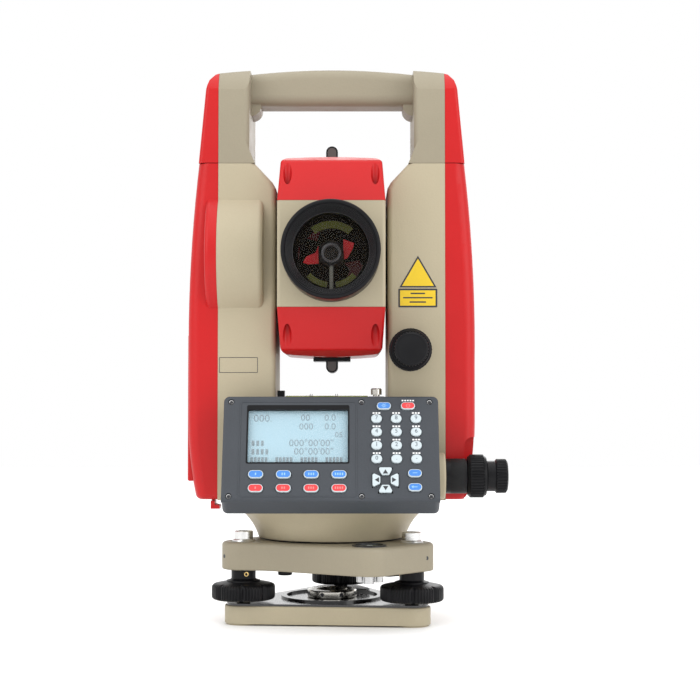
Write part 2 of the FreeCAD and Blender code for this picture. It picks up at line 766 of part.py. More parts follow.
# ---------------------------------------------------------------- plate level, plummet
def plate_level():
    """The tubular level on the deck: its holder, its glass and its adjusting nut."""
    deck = "deck_height"
    piece = Piece("plate_vial_holder")
    piece.add("XY", box("-31.6", "-28.6", "31.6", "-18"), deck + " + 0.05", deck + " + 1.6")
    piece.add("XY", box("-31.6", "-27.5", "-27.4", "-19"), deck + " + 1.5", deck + " + 11")
    piece.add("XY", box("21.6", "-27.5", "30.4", "-19"), deck + " + 1.5", deck + " + 7.6")
    piece.soften("1", lambda c, way: upright(c, way) and c.z > number(deck) + 3)
    piece.done()
    Piece("plate_vial_glass").turn([
        ("0", "0"), ("2.6", "0"), ("3.2", "0.6"), ("3.2", "48"), ("2.6", "48.6"), ("0", "48.6"),
    ]).place("-27.2", "-23.2", deck + " + 4.9", "+X").done()
    Piece("plate_vial_adjuster").turn([
        ("0", "0"), ("2", "0"), ("2", "0.9"), ("3.2", "0.9"), ("3.2", "4"), ("2.7", "4.6"),
        ("0", "4.6"),
    ]).place("26", "-23.2", deck + " + 7.7", "+Z").done()


def plummet():
    """The optical plummet: a tube out of the rear cover with a focusing ring round it."""
    back = "depth_half + 17"
    Piece("plummet_tube").turn([
        ("0", "0"), ("8.9", "0"), ("8.9", "16"), ("5", "16"), ("5", "28.4"), ("3.4", "28.4"),
        ("3.4", "26"), ("0", "26"),
    ]).place("0", "depth_half + 4.2", "96", "+Y").done()
    piece = Piece("plummet_focus_ring")
    piece.turn([
        ("5.3", "0"), ("10.2", "0"), ("11", "0.8"), ("11", "9"), ("10.2", "10"), ("7", "11"),
        ("5.3", "11"),
    ])
    piece.flutes("11.6", "1.1", 16, "0.6", "9.4")
    piece.place("0", back + " + 3.6", "96", "+Y").done()


# ---------------------------------------------------------------- clamp and tangent screws
def drive(name, place):
    """A fixed sleeve, a clamp ring that turns on it and a tangent knob at its end."""
    Piece(name + "_sleeve").turn([
        ("0", "0"), ("9.9", "0"), ("9.9", "12"), ("9.4", "12.2"), ("4.4", "12.2"),
        ("4.4", "32"), ("0", "32"),
    ]).place(*place).done()
    piece = Piece(name + "_clamp_ring")
    piece.turn([
        ("4.7", "12.5"), ("10.8", "12.5"), ("12.3", "14"), ("12.3", "21.6"), ("11", "23.3"),
        ("4.7", "23.3"),
    ])
    piece.flutes("12.7", "0.8", 12, "14.6", "20.9")
    piece.place(*place).done()
    piece = Piece(name + "_tangent_knob")
    piece.turn([
        ("4.7", "23.6"), ("8.7", "23.6"), ("8.7", "28.6"), ("9.7", "29"), ("9.7", "34.4"),
        ("8.8", "35.5"), ("0", "35.5"), ("0", "32.3"), ("4.7", "32.3"),
    ])
    piece.flutes("10.1", "0.7", 12, "29.6", "34")
    piece.place(*place).done()


# ---------------------------------------------------------------- keyboard
KEYS = {  # name: keys of (x, y, width, height) on the keyboard's face
    "number_keys": [(25.6 + 11.1 * column, 16.6 - 7.93 * row, 6.1, 5.0)
                    for row in range(4) for column in range(3)],
    "function_keys": [(-41.6 + 15.4 * i, -16.2, 8.5, 4.7) for i in range(4)],
    "mode_keys": [(-41.6 + 15.4 * i, -24.2, 8.5, 4.7) for i in range(4)],
    "command_keys": [(29.8, 24.2, 8.1, 4.4), (46.7, -15.6, 7.8, 4.6), (46.7, -23.7, 7.8, 4.6)],
    "power_key": [(43.4, 24.2, 8.1, 4.4)],
}
ARROWS = {"x": 30.35, "y": -19.6, "near": 2.9, "far": 7.2, "narrow": 2.0, "broad": 4.1}
CASE_SCREWS = [(x, y) for y in (26.8, -28.6) for x in (-56.4, 17.2, 55.6)]


def arrow_outlines(grow):
    """Four blunt wedges about one centre."""

    def draw(sketch):
        a = ARROWS
        near, far = a["near"] - grow, a["far"] + grow
        narrow, broad = a["narrow"] + grow, a["broad"] + grow
        for turn in range(4):
            cosine, sine = (1, 0, -1, 0)[turn], (0, 1, 0, -1)[turn]
            wedge = [(near, -narrow), (far, -broad), (far, broad), (near, narrow)]
            outline(sketch, [(str(round(a["x"] + u * cosine - v * sine, 4)),
                              str(round(a["y"] + u * sine + v * cosine, 4))) for u, v in wedge])

    return draw


def keyboard_case():
    """The keyboard's housing, with a recess for the display and a hole for every key."""
    top, deep = "face_half", "-case_deep"
    piece = Piece("keyboard_case")
    piece.add("YZ", shape(
        (top, "0"), (top + " + 1.2", deep), ("-(%s) - 4.8" % top, deep),
        ("-(%s) - 1.2" % top, "-2"), ("-(%s) + 0.6" % top, "0", "-2.6")),
        "-keyboard_half", "keyboard_half")
    piece.soften("3.2", lambda c, way: upright(c, way) is False and way is not None
                 and abs(way.z) > 0.9 and abs(c.x) > 60)
    piece.soften("1", lambda c, way: abs(c.z) < 0.01)
    piece.cut("XY", box("-46.9", "-9.3", "9.9", "24.4"), "-6.2", "1")
    piece.cut("XY", rounds(*[(str(x), str(y), "1.75") for x, y in CASE_SCREWS]), "-4", "1")
    for keys in KEYS.values():
        piece.cut("XY", capsules("key_gap", keys), "-6", "1")
    piece.cut("XY", arrow_outlines(0.3), "-6", "1")
    piece.on_keyboard().done()


def keyboard_parts():
    """The display, the keys and the case's screws."""
    Piece("display_panel").add("XY", box("-46.8", "-9.2", "9.8", "24.3"), "-6.1", "-3.4"
                               ).on_keyboard().done()
    Piece("display_window").add("XY", box("-46.8", "-9.2", "9.8", "24.3"), "-3.3", "-2.1"
                                ).on_keyboard().done()
    Piece("case_screws").add("XY", rounds(*[(str(x), str(y), "1.5") for x, y in CASE_SCREWS]),
                             "-3.9", "-1").on_keyboard().done()
    for name, keys in KEYS.items():
        piece = Piece(name)
        piece.add("XY", capsules("0", keys), "-key_root", "key_rise")
        piece.soften("0.7", lambda c, way: c.z > number("key_rise") - 0.01)
        piece.on_keyboard().done()
    piece = Piece("arrow_keys")
    piece.add("XY", arrow_outlines(0), "-key_root", "key_rise")
    piece.soften("0.9", lambda c, way: upright(c, way))
    piece.on_keyboard().done()


# ---------------------------------------------------------------- telescope
def telescope_block():
    """The cast middle of the telescope, bored along Y for its tube and across for its axle."""
    piece = Piece("telescope_block")
    half, deep = "block_half", "scope_deep"
    piece.add("XZ", box("-scope_half", "axis_height - " + half, "scope_half",
                        "axis_height + " + half), "-" + deep, deep)
    piece.soften("2", upright)
    piece.cut("XZ", rounds(("0", "axis_height", "tube_bore")), "-scope_deep - 1", deep + " + 1")
    piece.cut("YZ", rounds(("0", "axis_height", "12.05")), "-scope_half - 1", "scope_half + 1")
    piece.done()


def telescope_cover(name, up):
    """A crowned cover of the telescope: its ends lean in and each corner has a screw well."""
    def rise(text):
        return "axis_height + %d * (%s)" % (up, text)

    foot_z, shoulder_z, crown_z = rise("block_half + 0.15"), rise("scope_top - 5.4"), rise(
        "scope_top - 1.25")
    piece = Piece("telescope_%s_cover" % name)
    piece.add("XZ", shape(
        ("-scope_half", foot_z), ("scope_half", foot_z), ("scope_half - 1.55", shoulder_z),
        ("scope_half - 5.6", crown_z, "%d * 4.5" % up),
        ("-(scope_half - 5.6)", crown_z, "%d * 260" % up),
        ("-(scope_half - 1.55)", shoulder_z, "%d * 4.5" % up)), "-scope_deep", "scope_deep")
    for end in (-1, 1):
        piece.cut("YZ", shape(
            ("%d * scope_deep" % end, foot_z), ("%d * (scope_deep - 8.6)" % end, rise("53.5")),
            ("%d * (scope_deep - 10.1)" % end, rise("55"), "%d * 2.5" % (end * up)),
            ("%d * (scope_deep - 20)" % end, rise("scope_top + 0.1")),
            ("%d * (scope_deep - 20)" % end, rise("64")),
            ("%d * (scope_deep + 2)" % end, rise("64")), ("%d * (scope_deep + 2)" % end, foot_z)),
            "-scope_half - 1", "scope_half + 1")

    def leaning_corner(c, way):
        return abs(c.y) > 29 and abs(c.x) > 20 and abs(c.z - number(foot_z)) > 0.01

    piece.soften("1.6", leaning_corner)
    low, high = (rise("28"), rise("53")) if up > 0 else (rise("53"), rise("28"))
    piece.cut("XY", box("-(scope_half - 5)", "-32", "scope_half - 5", "32"), low, high)
    low, high = (rise("34"), rise("64")) if up > 0 else (rise("64"), rise("34"))
    wells = [("%d * 25.2" % side, "%d * 42" % end, "2.45") for side in (-1, 1) for end in (-1, 1)]
    piece.cut("XY", rounds(*wells), low, high)
    piece.done()


def optics():
    """The objective in its cell, the distance meter's tube, and the eyepiece end."""
    objective, reach, lens = "objective_radius", "objective_reach", "lens_radius"
    centre = ("0", "0", "axis_height")
    Piece("objective_cell").turn([
        (lens + " + 0.1", "18"), ("tube_bore - 0.1", "18"), ("tube_bore - 0.1", "scope_deep + 0.1"),
        (objective, "scope_deep + 0.1"), (objective, reach + " - 1.4"),
        (objective + " - 1.4", reach, "1.4"), (objective + " - 2.2", reach),
        (lens + " + 0.1", reach + " - 12"),
    ]).place(*centre, "-Y").done()
    Piece("objective_lens").turn([
        ("0", "55.5"), ("7", "55.5"), ("15", "56.4"), (lens, "57.5"), (lens, "60.5"),
        ("15", "61.6"), ("7", "62.4"), ("0", "62.4"),
    ]).place(*centre, "-Y").done()
    piece = Piece("edm_tube")
    piece.turn([("4", "34"), ("7.1", "34"), ("7.1", "50"), ("4", "52")])
    piece.add("XY", box("-1.2", "-(lens_radius + 0.05)", "1.2", "-6.6"), "36", "48")
    piece.place(*centre, "-Y").done()
    piece = Piece("focus_ring")
    piece.turn([
        ("14.3", "scope_deep + 0.3"), ("22.6", "scope_deep + 0.3"), ("24", "scope_deep + 1.8"),
        ("24", "63"), ("22.6", "64.5"), ("14.3", "64.5"),
    ])
    piece.flutes("24.9", "1.8", 18, "scope_deep + 2", "63")
    piece.place(*centre, "+Y").done()
    Piece("eyepiece_tube").turn([
        ("8.2", "20"), ("tube_bore - 0.1", "20"), ("tube_bore - 0.1", "scope_deep"),
        ("14", "scope_deep"), ("14", "67"), ("10.5", "67"), ("10.5", "77"), ("8.2", "77"),
    ]).place(*centre, "+Y").done()
    piece = Piece("eyepiece_ring")
    piece.turn([
        ("10.8", "67.3"), ("14.6", "67.3"), ("15.4", "68.2"), ("15.4", "76"), ("14", "79"),
        ("12.5", "79.6"), ("10.8", "79.6"),
    ])
    piece.flutes("15.9", "1", 20, "68.4", "76")
    piece.place(*centre, "+Y").done()
    Piece("eyepiece_lens").turn([
        ("0", "71"), ("8.1", "71"), ("8.1", "73.5"), ("5.5", "74.2"), ("2.5", "74.6"),
        ("0", "74.6"),
    ]).place(*centre, "+Y").done()


def sights():
    """The two collimator sights, over and under the telescope."""
    bodies = []
    for name, up in (("top", 1), ("bottom", -1)):
        def rise(text):
            return "axis_height + %d * (%s)" % (up, text)

        piece = Piece("sight_" + name)
        piece.add("XZ", shape(
            ("-11", rise("scope_top + 0.1")), ("11", rise("scope_top + 0.1")),
            ("11", rise("scope_top + 2.2")), ("3.5", rise("scope_top + 2.2")),
            ("3.5", rise("scope_top + 5.5")), ("0", rise("scope_top + 9"), "%d * 3.5" % up),
            ("-3.5", rise("scope_top + 5.5"), "%d * 3.5" % up),
            ("-3.5", rise("scope_top + 2.2")), ("-11", rise("scope_top + 2.2"))), "-12", "12")
        bodies.append(piece.body)
    group("sights", bodies)


def trunnions():
    """The level axle in two stubs, its bearings in the standards, and the vertical circle."""
    shafts, bearings = [], []
    for name, facing, end in (("left", "-X", "58"), ("right", "+X", "46")):
        shaft = Piece("trunnion_" + name).turn([
            ("0", "25"), ("12", "25"), ("12", "scope_half"), ("trunnion_radius", "scope_half"),
            ("trunnion_radius", end), ("0", end),
        ]).place("0", "0", "axis_height", facing)
        shafts.append(shaft.body)
        bore = "trunnion_radius + running_gap"
        bearing = Piece("bearing_" + name).turn([
            (bore, "scope_half + 0.3"), ("16.2", "scope_half + 0.3"), ("16.2", "gap_half - 0.02"),
            ("14.1", "gap_half - 0.02"), ("14.1", "gap_half + 9"), (bore, "gap_half + 9"),
        ]).place("0", "0", "axis_height", facing)
        bearings.append(bearing.body)
    group("trunnion_shafts", shafts)
    group("trunnion_bearings", bearings)
    Piece("vertical_circle").turn([
        ("trunnion_radius + 0.1", "51"), ("circle_radius", "51"), ("circle_radius", "52.8"),
        ("trunnion_radius + 0.1", "52.8"),
    ]).place("0", "0", "axis_height", "-X").done()


# ---------------------------------------------------------------- build, check and write
base_plate()
spring_plate()
tripod_nut()
for name, angle in FEET.items():
    foot_screw(name, angle)
tribrach_head()
foot_screw_bushes()
circular_vial()
lock_lever()
axis_socket()
axis_spindle()
alidade_base()
left_standard()
right_standard()
side_cover("left", -1)
side_cover("right", 1)
battery()
carrying_handle()
handle_caps()
rear_cover()
plate_level()
plummet()
drive("horizontal", ("joint_half - 1.1", "side_drive_y", "side_drive_z", "+X"))
drive("vertical", ("drive_x", "-depth_half - 0.05", "drive_z", "-Y"))
keyboard_case()
keyboard_parts()
telescope_block()
telescope_cover("top", 1)
telescope_cover("bottom", -1)
optics()
sights()
trunnions()

doc.recompute()
for item in doc.Objects:
    if "Invalid" in item.State or "Error" in item.State:
        raise RuntimeError("%s did not compute" % item.Label)
os.makedirs("parts", exist_ok=True)
for label, item in parts.items():
    solid = item.Shape
    if solid.isNull() or not solid.isValid() or not solid.Solids:
        raise RuntimeError("%s has no valid solid" % label)
    solid.exportStep("parts/%s.step" % label)
print("%d sub-parts, %d solids" % (len(parts), sum(len(p.Shape.Solids) for p in parts.values())))
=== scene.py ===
"""Looks of the surveying total station, laid over its solid model in the same frame, metres."""

import math

import bmesh
import bpy
from mathutils import Matrix, Vector


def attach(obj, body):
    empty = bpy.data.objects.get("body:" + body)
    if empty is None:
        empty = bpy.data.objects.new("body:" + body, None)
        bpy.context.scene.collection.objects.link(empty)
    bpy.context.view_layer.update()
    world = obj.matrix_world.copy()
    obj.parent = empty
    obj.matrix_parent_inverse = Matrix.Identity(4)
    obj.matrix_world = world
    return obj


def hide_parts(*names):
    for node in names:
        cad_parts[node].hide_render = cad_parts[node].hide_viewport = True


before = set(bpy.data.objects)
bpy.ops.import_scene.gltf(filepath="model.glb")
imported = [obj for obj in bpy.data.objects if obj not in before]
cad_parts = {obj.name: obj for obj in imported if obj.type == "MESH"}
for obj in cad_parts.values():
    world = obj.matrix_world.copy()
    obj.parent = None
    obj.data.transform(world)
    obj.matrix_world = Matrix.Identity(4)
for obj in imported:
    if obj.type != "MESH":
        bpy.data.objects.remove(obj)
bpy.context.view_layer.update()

MM = 0.001
AXIS = Vector((0, 0, 0.213))  # where the telescope's turning axis crosses the vertical axis
TURN = math.radians(-5)  # the levelling base stands slightly turned from the alidade
KEYBOARD = (Matrix.Translation((0, -0.06065, 0.1033))
            @ Matrix.Rotation(math.radians(90 - 20.6), 4, "X"))
FACING = {
    "+Z": Matrix.Identity(4),
    "-Y": Matrix.Rotation(math.radians(90), 4, "X"),
    "+Y": Matrix.Rotation(math.radians(-90), 4, "X"),
    "+X": Matrix.Rotation(math.radians(90), 4, "Y"),
}


# ---------------------------------------------------------------- materials
def link(tree, a, out, b, into):
    tree.links.new(a.outputs[out], b.inputs[into])


def surface(name, color, rough, metal=0.0, grain=400.0, bump=0.05, mottle=0.06, coat=0.0,
            wear=0.0, specular=0.5, stretch=(1, 1, 1), rough_swing=0.12):
    """A material with fine relief, slow colour drift, patchy gloss and rubbed spots."""
    mat = bpy.data.materials.new(name)
    mat.use_nodes = True
    tree = mat.node_tree
    shader = tree.nodes["Principled BSDF"]
    shader.inputs["Metallic"].default_value = metal
    shader.inputs["Coat Weight"].default_value = coat
    shader.inputs["Coat Roughness"].default_value = 0.12
    shader.inputs["Specular IOR Level"].default_value = specular
    place = tree.nodes.new("ShaderNodeTexCoord")
    scale = tree.nodes.new("ShaderNodeMapping")
    scale.inputs["Scale"].default_value = stretch
    link(tree, place, "Object", scale, "Vector")

    def noise(size, detail, roughness=0.55):
        node = tree.nodes.new("ShaderNodeTexNoise")
        node.inputs["Scale"].default_value = size
        node.inputs["Detail"].default_value = detail
        node.inputs["Roughness"].default_value = roughness
        link(tree, scale, "Vector", node, "Vector")
        return node

    slow = noise(18.0, 3.0)
    fine = noise(grain, 4.0, 0.6)
    patches = noise(55.0, 5.0, 0.65)
    drift = tree.nodes.new("ShaderNodeValToRGB")
    low = [c * (1 - mottle) for c in color]
    high = [min(1.0, c * (1 + mottle)) for c in color]
    drift.color_ramp.elements[0].position = 0.3
    drift.color_ramp.elements[1].position = 0.7
    drift.color_ramp.elements[0].color = (*low, 1)
    drift.color_ramp.elements[1].color = (*high, 1)
    link(tree, slow, "Fac", drift, "Fac")
    speck = tree.nodes.new("ShaderNodeMix")
    speck.data_type = "RGBA"
    speck.blend_type = "MULTIPLY"
    speck.inputs["Factor"].default_value = 0.35
    tone = tree.nodes.new("ShaderNodeValToRGB")
    tone.color_ramp.elements[0].position = 0.35
    tone.color_ramp.elements[1].position = 0.62
    tone.color_ramp.elements[0].color = (1 - mottle * 2, 1 - mottle * 2, 1 - mottle * 2, 1)
    tone.color_ramp.elements[1].color = (1, 1, 1, 1)
    link(tree, fine, "Fac", tone, "Fac")
    tree.links.new(drift.outputs["Color"], speck.inputs[6])
    tree.links.new(tone.outputs["Color"], speck.inputs[7])
    final = speck.outputs[2]
    if wear:
        rub = tree.nodes.new("ShaderNodeValToRGB")
        rub.color_ramp.elements[0].position = 0.66
        rub.color_ramp.elements[1].position = 0.78
        rub.color_ramp.elements[0].color = (0, 0, 0, 1)
        rub.color_ramp.elements[1].color = (wear, wear, wear, 1)
        link(tree, patches, "Fac", rub, "Fac")
        worn = tree.nodes.new("ShaderNodeMix")
        worn.data_type = "RGBA"
        tree.links.new(rub.outputs["Color"], worn.inputs["Factor"])
        tree.links.new(final, worn.inputs[6])
        worn.inputs[7].default_value = (*[min(1.0, c * 0.7 + 0.14) for c in color], 1)
        final = worn.outputs[2]
    tree.links.new(final, shader.inputs["Base Color"])
    gloss = tree.nodes.new("ShaderNodeMapRange")
    gloss.inputs["From Min"].default_value = 0.3
    gloss.inputs["From Max"].default_value = 0.7
    gloss.inputs["To Min"].default_value = max(0.03, rough - rough_swing / 2)
    gloss.inputs["To Max"].default_value = min(1.0, rough + rough_swing / 2)
    link(tree, patches, "Fac", gloss, "Value")
    link(tree, gloss, "Result", shader, "Roughness")
    relief = tree.nodes.new("ShaderNodeBump")
    relief.inputs["Strength"].default_value = bump
    relief.inputs["Distance"].default_value = 0.0004
    link(tree, fine, "Fac", relief, "Height")
    link(tree, relief, "Normal", shader, "Normal")
    return mat


def clear(name, color, alpha, rough=0.03, coat=0.5):
    """Coated glass or clear plastic, with faint smears in its gloss."""
    mat = surface(name, color, rough, grain=90.0, bump=0.01, mottle=0.03, coat=coat,
                  rough_swing=0.04)
    mat.node_tree.nodes["Principled BSDF"].inputs["Alpha"].default_value = alpha
    mat.surface_render_method = "BLENDED"
    return mat


BEIGE = surface("enamel_beige", (0.385, 0.335, 0.232), 0.5, specular=0.35, grain=900, bump=0.22,
                mottle=0.035, wear=0.05)
# Painted shade: a darker copy of the beige enamel for the handle and the levelling head, standing
# in for the shade that falls on them.
SHADED_BEIGE = surface("enamel_beige_painted_shade", (0.268, 0.236, 0.170), 0.5, specular=0.3, grain=900,
                       bump=0.22, mottle=0.035, wear=0.05)
RED = surface("cover_red", (0.45, 0.007, 0.008), 0.36, grain=700, bump=0.08, mottle=0.04,
              specular=0.26)
SLATE = surface("case_slate", (0.045, 0.051, 0.060), 0.46, grain=1100, bump=0.2, mottle=0.08,
                wear=0.06, specular=0.32)
BLACK = surface("moulded_black", (0.005, 0.005, 0.006), 0.36, grain=900, bump=0.15, mottle=0.1,
                wear=0.03, specular=0.16)
RUBBER = surface("rubber_black", (0.007, 0.007, 0.0075), 0.55, grain=1200, bump=0.3, mottle=0.1,
                 wear=0.03, specular=0.2)
GLOSS_BLACK = surface("gloss_black", (0.010, 0.010, 0.011), 0.16, grain=300, bump=0.03,
                      mottle=0.1, coat=0.5, rough_swing=0.1)
INNER_BLACK = surface("anodised_black", (0.016, 0.016, 0.018), 0.3, metal=0.3, grain=500,
                      bump=0.05, mottle=0.1, specular=0.3)
NICKEL = surface("nickel", (0.63, 0.61, 0.56), 0.2, metal=1.0, grain=500, bump=0.04,
                 mottle=0.08, stretch=(1, 1, 6))
TURNED = surface("turned_aluminium", (0.72, 0.72, 0.71), 0.3, metal=1.0, grain=500, bump=0.08,
                 mottle=0.08, stretch=(1, 1, 12))
BRASS = surface("brass", (0.70, 0.50, 0.20), 0.3, metal=1.0, grain=500, bump=0.05, mottle=0.08)
STEEL = surface("ground_steel", (0.50, 0.50, 0.50), 0.25, metal=1.0, grain=600, bump=0.05,
                mottle=0.06, stretch=(8, 1, 1))
DARK_STEEL = surface("blackened_steel", (0.06, 0.06, 0.065), 0.35, metal=0.8, grain=500,
                     bump=0.06, mottle=0.1, wear=0.2)
KEY_WHITE = surface("key_white", (0.50, 0.57, 0.60), 0.38, grain=600, bump=0.05, mottle=0.04)
KEY_BLUE = surface("key_blue", (0.045, 0.20, 0.58), 0.36, grain=600, bump=0.05, mottle=0.05)
KEY_RED = surface("key_red", (0.66, 0.035, 0.04), 0.36, grain=600, bump=0.05, mottle=0.05)
MARK_BLUE = surface("mark_blue", (0.26, 0.48, 0.78), 0.4, grain=600, bump=0.02, mottle=0.05)
MARK_RED = surface("mark_red", (0.78, 0.20, 0.19), 0.4, grain=600, bump=0.02, mottle=0.05)
LCD = surface("display", (0.30, 0.46, 0.54), 0.3, specular=0.2, grain=1500, bump=0.02, mottle=0.03,
              rough_swing=0.05)
LCD_INK = surface("display_ink", (0.10, 0.15, 0.18), 0.4, grain=1500, bump=0.02, mottle=0.05)
# Dark print; the same dark also paints the shade inside holes and screw slots.
DARK_PRINT_AND_SHADE = surface("print_dark_and_painted_shade", (0.02, 0.022, 0.028), 0.5, grain=900, bump=0.02, mottle=0.05)
DIGIT_INK = surface("digit_ink", (0.05, 0.07, 0.10), 0.5, grain=900, bump=0.02, mottle=0.05)
SMOKED = surface("smoked_glass", (0.075, 0.062, 0.058), 0.2, grain=300, bump=0.01, mottle=0.06)
INK_WHITE = surface("print_white", (0.8, 0.8, 0.8), 0.5, grain=900, bump=0.02, mottle=0.05)
YELLOW = surface("label_yellow", (0.70, 0.48, 0.01), 0.4, grain=400, bump=0.03, mottle=0.05)
VIAL = clear("vial_fluid", (0.35, 0.45, 0.05), 0.7, coat=0.8)
WINDOW = clear("window", (0.75, 0.88, 0.93), 0.10)
LENS = clear("coated_lens", (0.03, 0.02, 0.01), 0.10, coat=0.0)
CIRCLE = clear("circle_glass", (0.75, 0.85, 0.83), 0.5)

FINISH = {
    BEIGE: "base_plate alidade_base left_standard right_standard telescope_block rear_cover",
    SHADED_BEIGE: "tribrach_head carrying_handle",
    RED: "left_cover right_cover handle_caps telescope_top_cover telescope_bottom_cover"
         " battery_latch battery_pack",
    SLATE: "keyboard_case",
    BLACK: "lock_lever horizontal_sleeve vertical_sleeve plummet_tube sights"
           " plate_vial_holder axis_socket horizontal_clamp_ring vertical_clamp_ring"
           " horizontal_tangent_knob vertical_tangent_knob foot_screw_left foot_screw_right"
           " foot_screw_rear objective_cell eyepiece_tube trunnion_bearings",
    GLOSS_BLACK: "spring_plate",
    INNER_BLACK: "edm_tube",
    RUBBER: "focus_ring eyepiece_ring plummet_focus_ring",
    NICKEL: "tripod_nut plate_vial_adjuster",
    TURNED: "foot_screw_bushes",
    STEEL: "axis_spindle trunnion_shafts vial_adjusting_screws",
    DARK_STEEL: "case_screws circular_vial_cup",
    KEY_WHITE: "number_keys arrow_keys function_keys command_keys mode_keys power_key",
    LCD: "display_panel",
    VIAL: "circular_vial_glass plate_vial_glass",
    WINDOW: "display_window",
    LENS: "objective_lens eyepiece_lens",
    CIRCLE: "horizontal_circle vertical_circle",
}
for finish, names in FINISH.items():
    for name in names.split():
        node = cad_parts[name]
        node.data.materials.clear()
        node.data.materials.append(finish)


# ---------------------------------------------------------------- building pieces
def piece(name, bm, mat, body, place=None, stands_for=()):
    """One mesh object from a bmesh, laid in the frame and riding on a body."""
    mesh = bpy.data.meshes.new(name)
    bmesh.ops.recalc_face_normals(bm, faces=bm.faces)
    bm.to_mesh(mesh)
    bm.free()
    if place is not None:
        mesh.transform(place)
    obj = bpy.data.objects.new(name, mesh)
    bpy.context.scene.collection.objects.link(obj)
    mesh.materials.append(mat)
    mesh.shade_smooth()
    mesh.set_sharp_from_angle(angle=math.radians(35))
    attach(obj, body)
    if stands_for:
        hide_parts(*stands_for)
    return obj


def spun(bm, profile, count, rim=None, closed=True):
    """Rings of points round Z from (radius, height); rim(radius, height, angle) moves one."""
    rings = []
    for radius, height in profile:
        if radius < 1e-9:
            rings.append([bm.verts.new((0, 0, height))] * count)
            continue
        ring = []
        for i in range(count):
            angle = 2 * math.pi * i / count
            r = rim(radius, height, angle) if rim else radius
            ring.append(bm.verts.new((r * math.cos(angle), r * math.sin(angle), height)))
        rings.append(ring)
    pairs = list(zip(rings, rings[1:]))
    if closed:
        pairs.append((rings[-1], rings[0]))
    for lower, upper in pairs:
        for i in range(count):
            j = (i + 1) % count
            corners = []
            for v in (lower[i], lower[j], upper[j], upper[i]):
                if v not in corners:
                    corners.append(v)
            if len(corners) > 2:
                bm.faces.new(corners)
    return bm


def mm(profile):
    return [(r * MM, z * MM) for r, z in profile]


def prism(bm, points, low, high, inset=0.0):
    """A flat shape given as (x, y) points in mm, from low to high, its top drawn in by inset."""
    cx = sum(p[0] for p in points) / len(points)
    cy = sum(p[1] for p in points) / len(points)
    rings = []
    for level, shrink in ((low, 0), (high - inset, 0), (high, inset)):
        ring = []
        for x, y in points:
            d = math.hypot(x - cx, y - cy) or 1
            k = 1 - shrink / d
            ring.append(bm.verts.new(((cx + (x - cx) * k) * MM, (cy + (y - cy) * k) * MM,
                                      level * MM)))
        rings.append(ring)
    for a, b in zip(rings, rings[1:]):
        if a[0].co == b[0].co:
            continue
        for i in range(len(points)):
            j = (i + 1) % len(points)
            bm.faces.new((a[i], a[j], b[j], b[i]))
    bm.faces.new(rings[0][::-1])
    bm.faces.new(rings[-1])
    return bm


def loop_prism(bm, outer, inner, low, high):
    """A frame between two outlines of the same number of points."""
    levels = [[bm.verts.new((x * MM, y * MM, z * MM)) for x, y in shape]
              for shape in (outer, inner) for z in (low, high)]
    n = len(outer)
    for a, b in ((0, 1), (1, 3), (3, 2), (2, 0)):
        for i in range(n):
            j = (i + 1) % n
            bm.faces.new((levels[a][i], levels[a][j], levels[b][j], levels[b][i]))
    return bm


def rounded(x0, y0, x1, y1, r, steps=5):
    """The points of a rectangle with round corners."""
    points = []
    for cx, cy, start in ((x1 - r, y1 - r, 0), (x0 + r, y1 - r, 90), (x0 + r, y0 + r, 180),
                          (x1 - r, y0 + r, 270)):
        for i in range(steps + 1):
            a = math.radians(start + 90 * i / steps)
            points.append((cx + r * math.cos(a), cy + r * math.sin(a)))
    return points


def lettering(name, items, mat, body, place):
    """Digits and signs as one thin mesh. items: (text, x, y, size, height) in mm."""
    bm = bmesh.new()
    for text, x, y, size, z in items:
        curve = bpy.data.curves.new("glyphs", "FONT")
        curve.body = text
        curve.size = size * MM
        curve.align_x = "CENTER"
        curve.align_y = "CENTER"
        curve.extrude = 0.00003
        curve.resolution_u = 3
        holder = bpy.data.objects.new("glyphs", curve)
        bpy.context.scene.collection.objects.link(holder)
        bpy.context.view_layer.update()
        mesh = bpy.data.meshes.new_from_object(holder)
        mesh.transform(Matrix.Translation((x * MM, y * MM, z * MM)))
        bm.from_mesh(mesh)
        bpy.data.objects.remove(holder)
        bpy.data.meshes.remove(mesh)
        bpy.data.curves.remove(curve)
    piece(name, bm, mat, body, place)


# ---------------------------------------------------------------- levelling base
def knob_rim(radius, height, angle):
    """Eight broad lobes, each with three narrow ribs, parted by scoops."""
    if radius < 15.5 * MM or not 14.4 * MM < height < 25.6 * MM:
        return radius
    part = (angle / (2 * math.pi) * 8) % 1
    across = abs(part - 0.5)
    if across > 0.36:
        return radius - 1.5 * MM * math.cos((0.5 - across) / 0.14 * math.pi / 2) ** 2
    rib = math.cos(part * 8 * 2 * math.pi)
    return radius - (0.42 * MM if rib < -0.1 else 0)


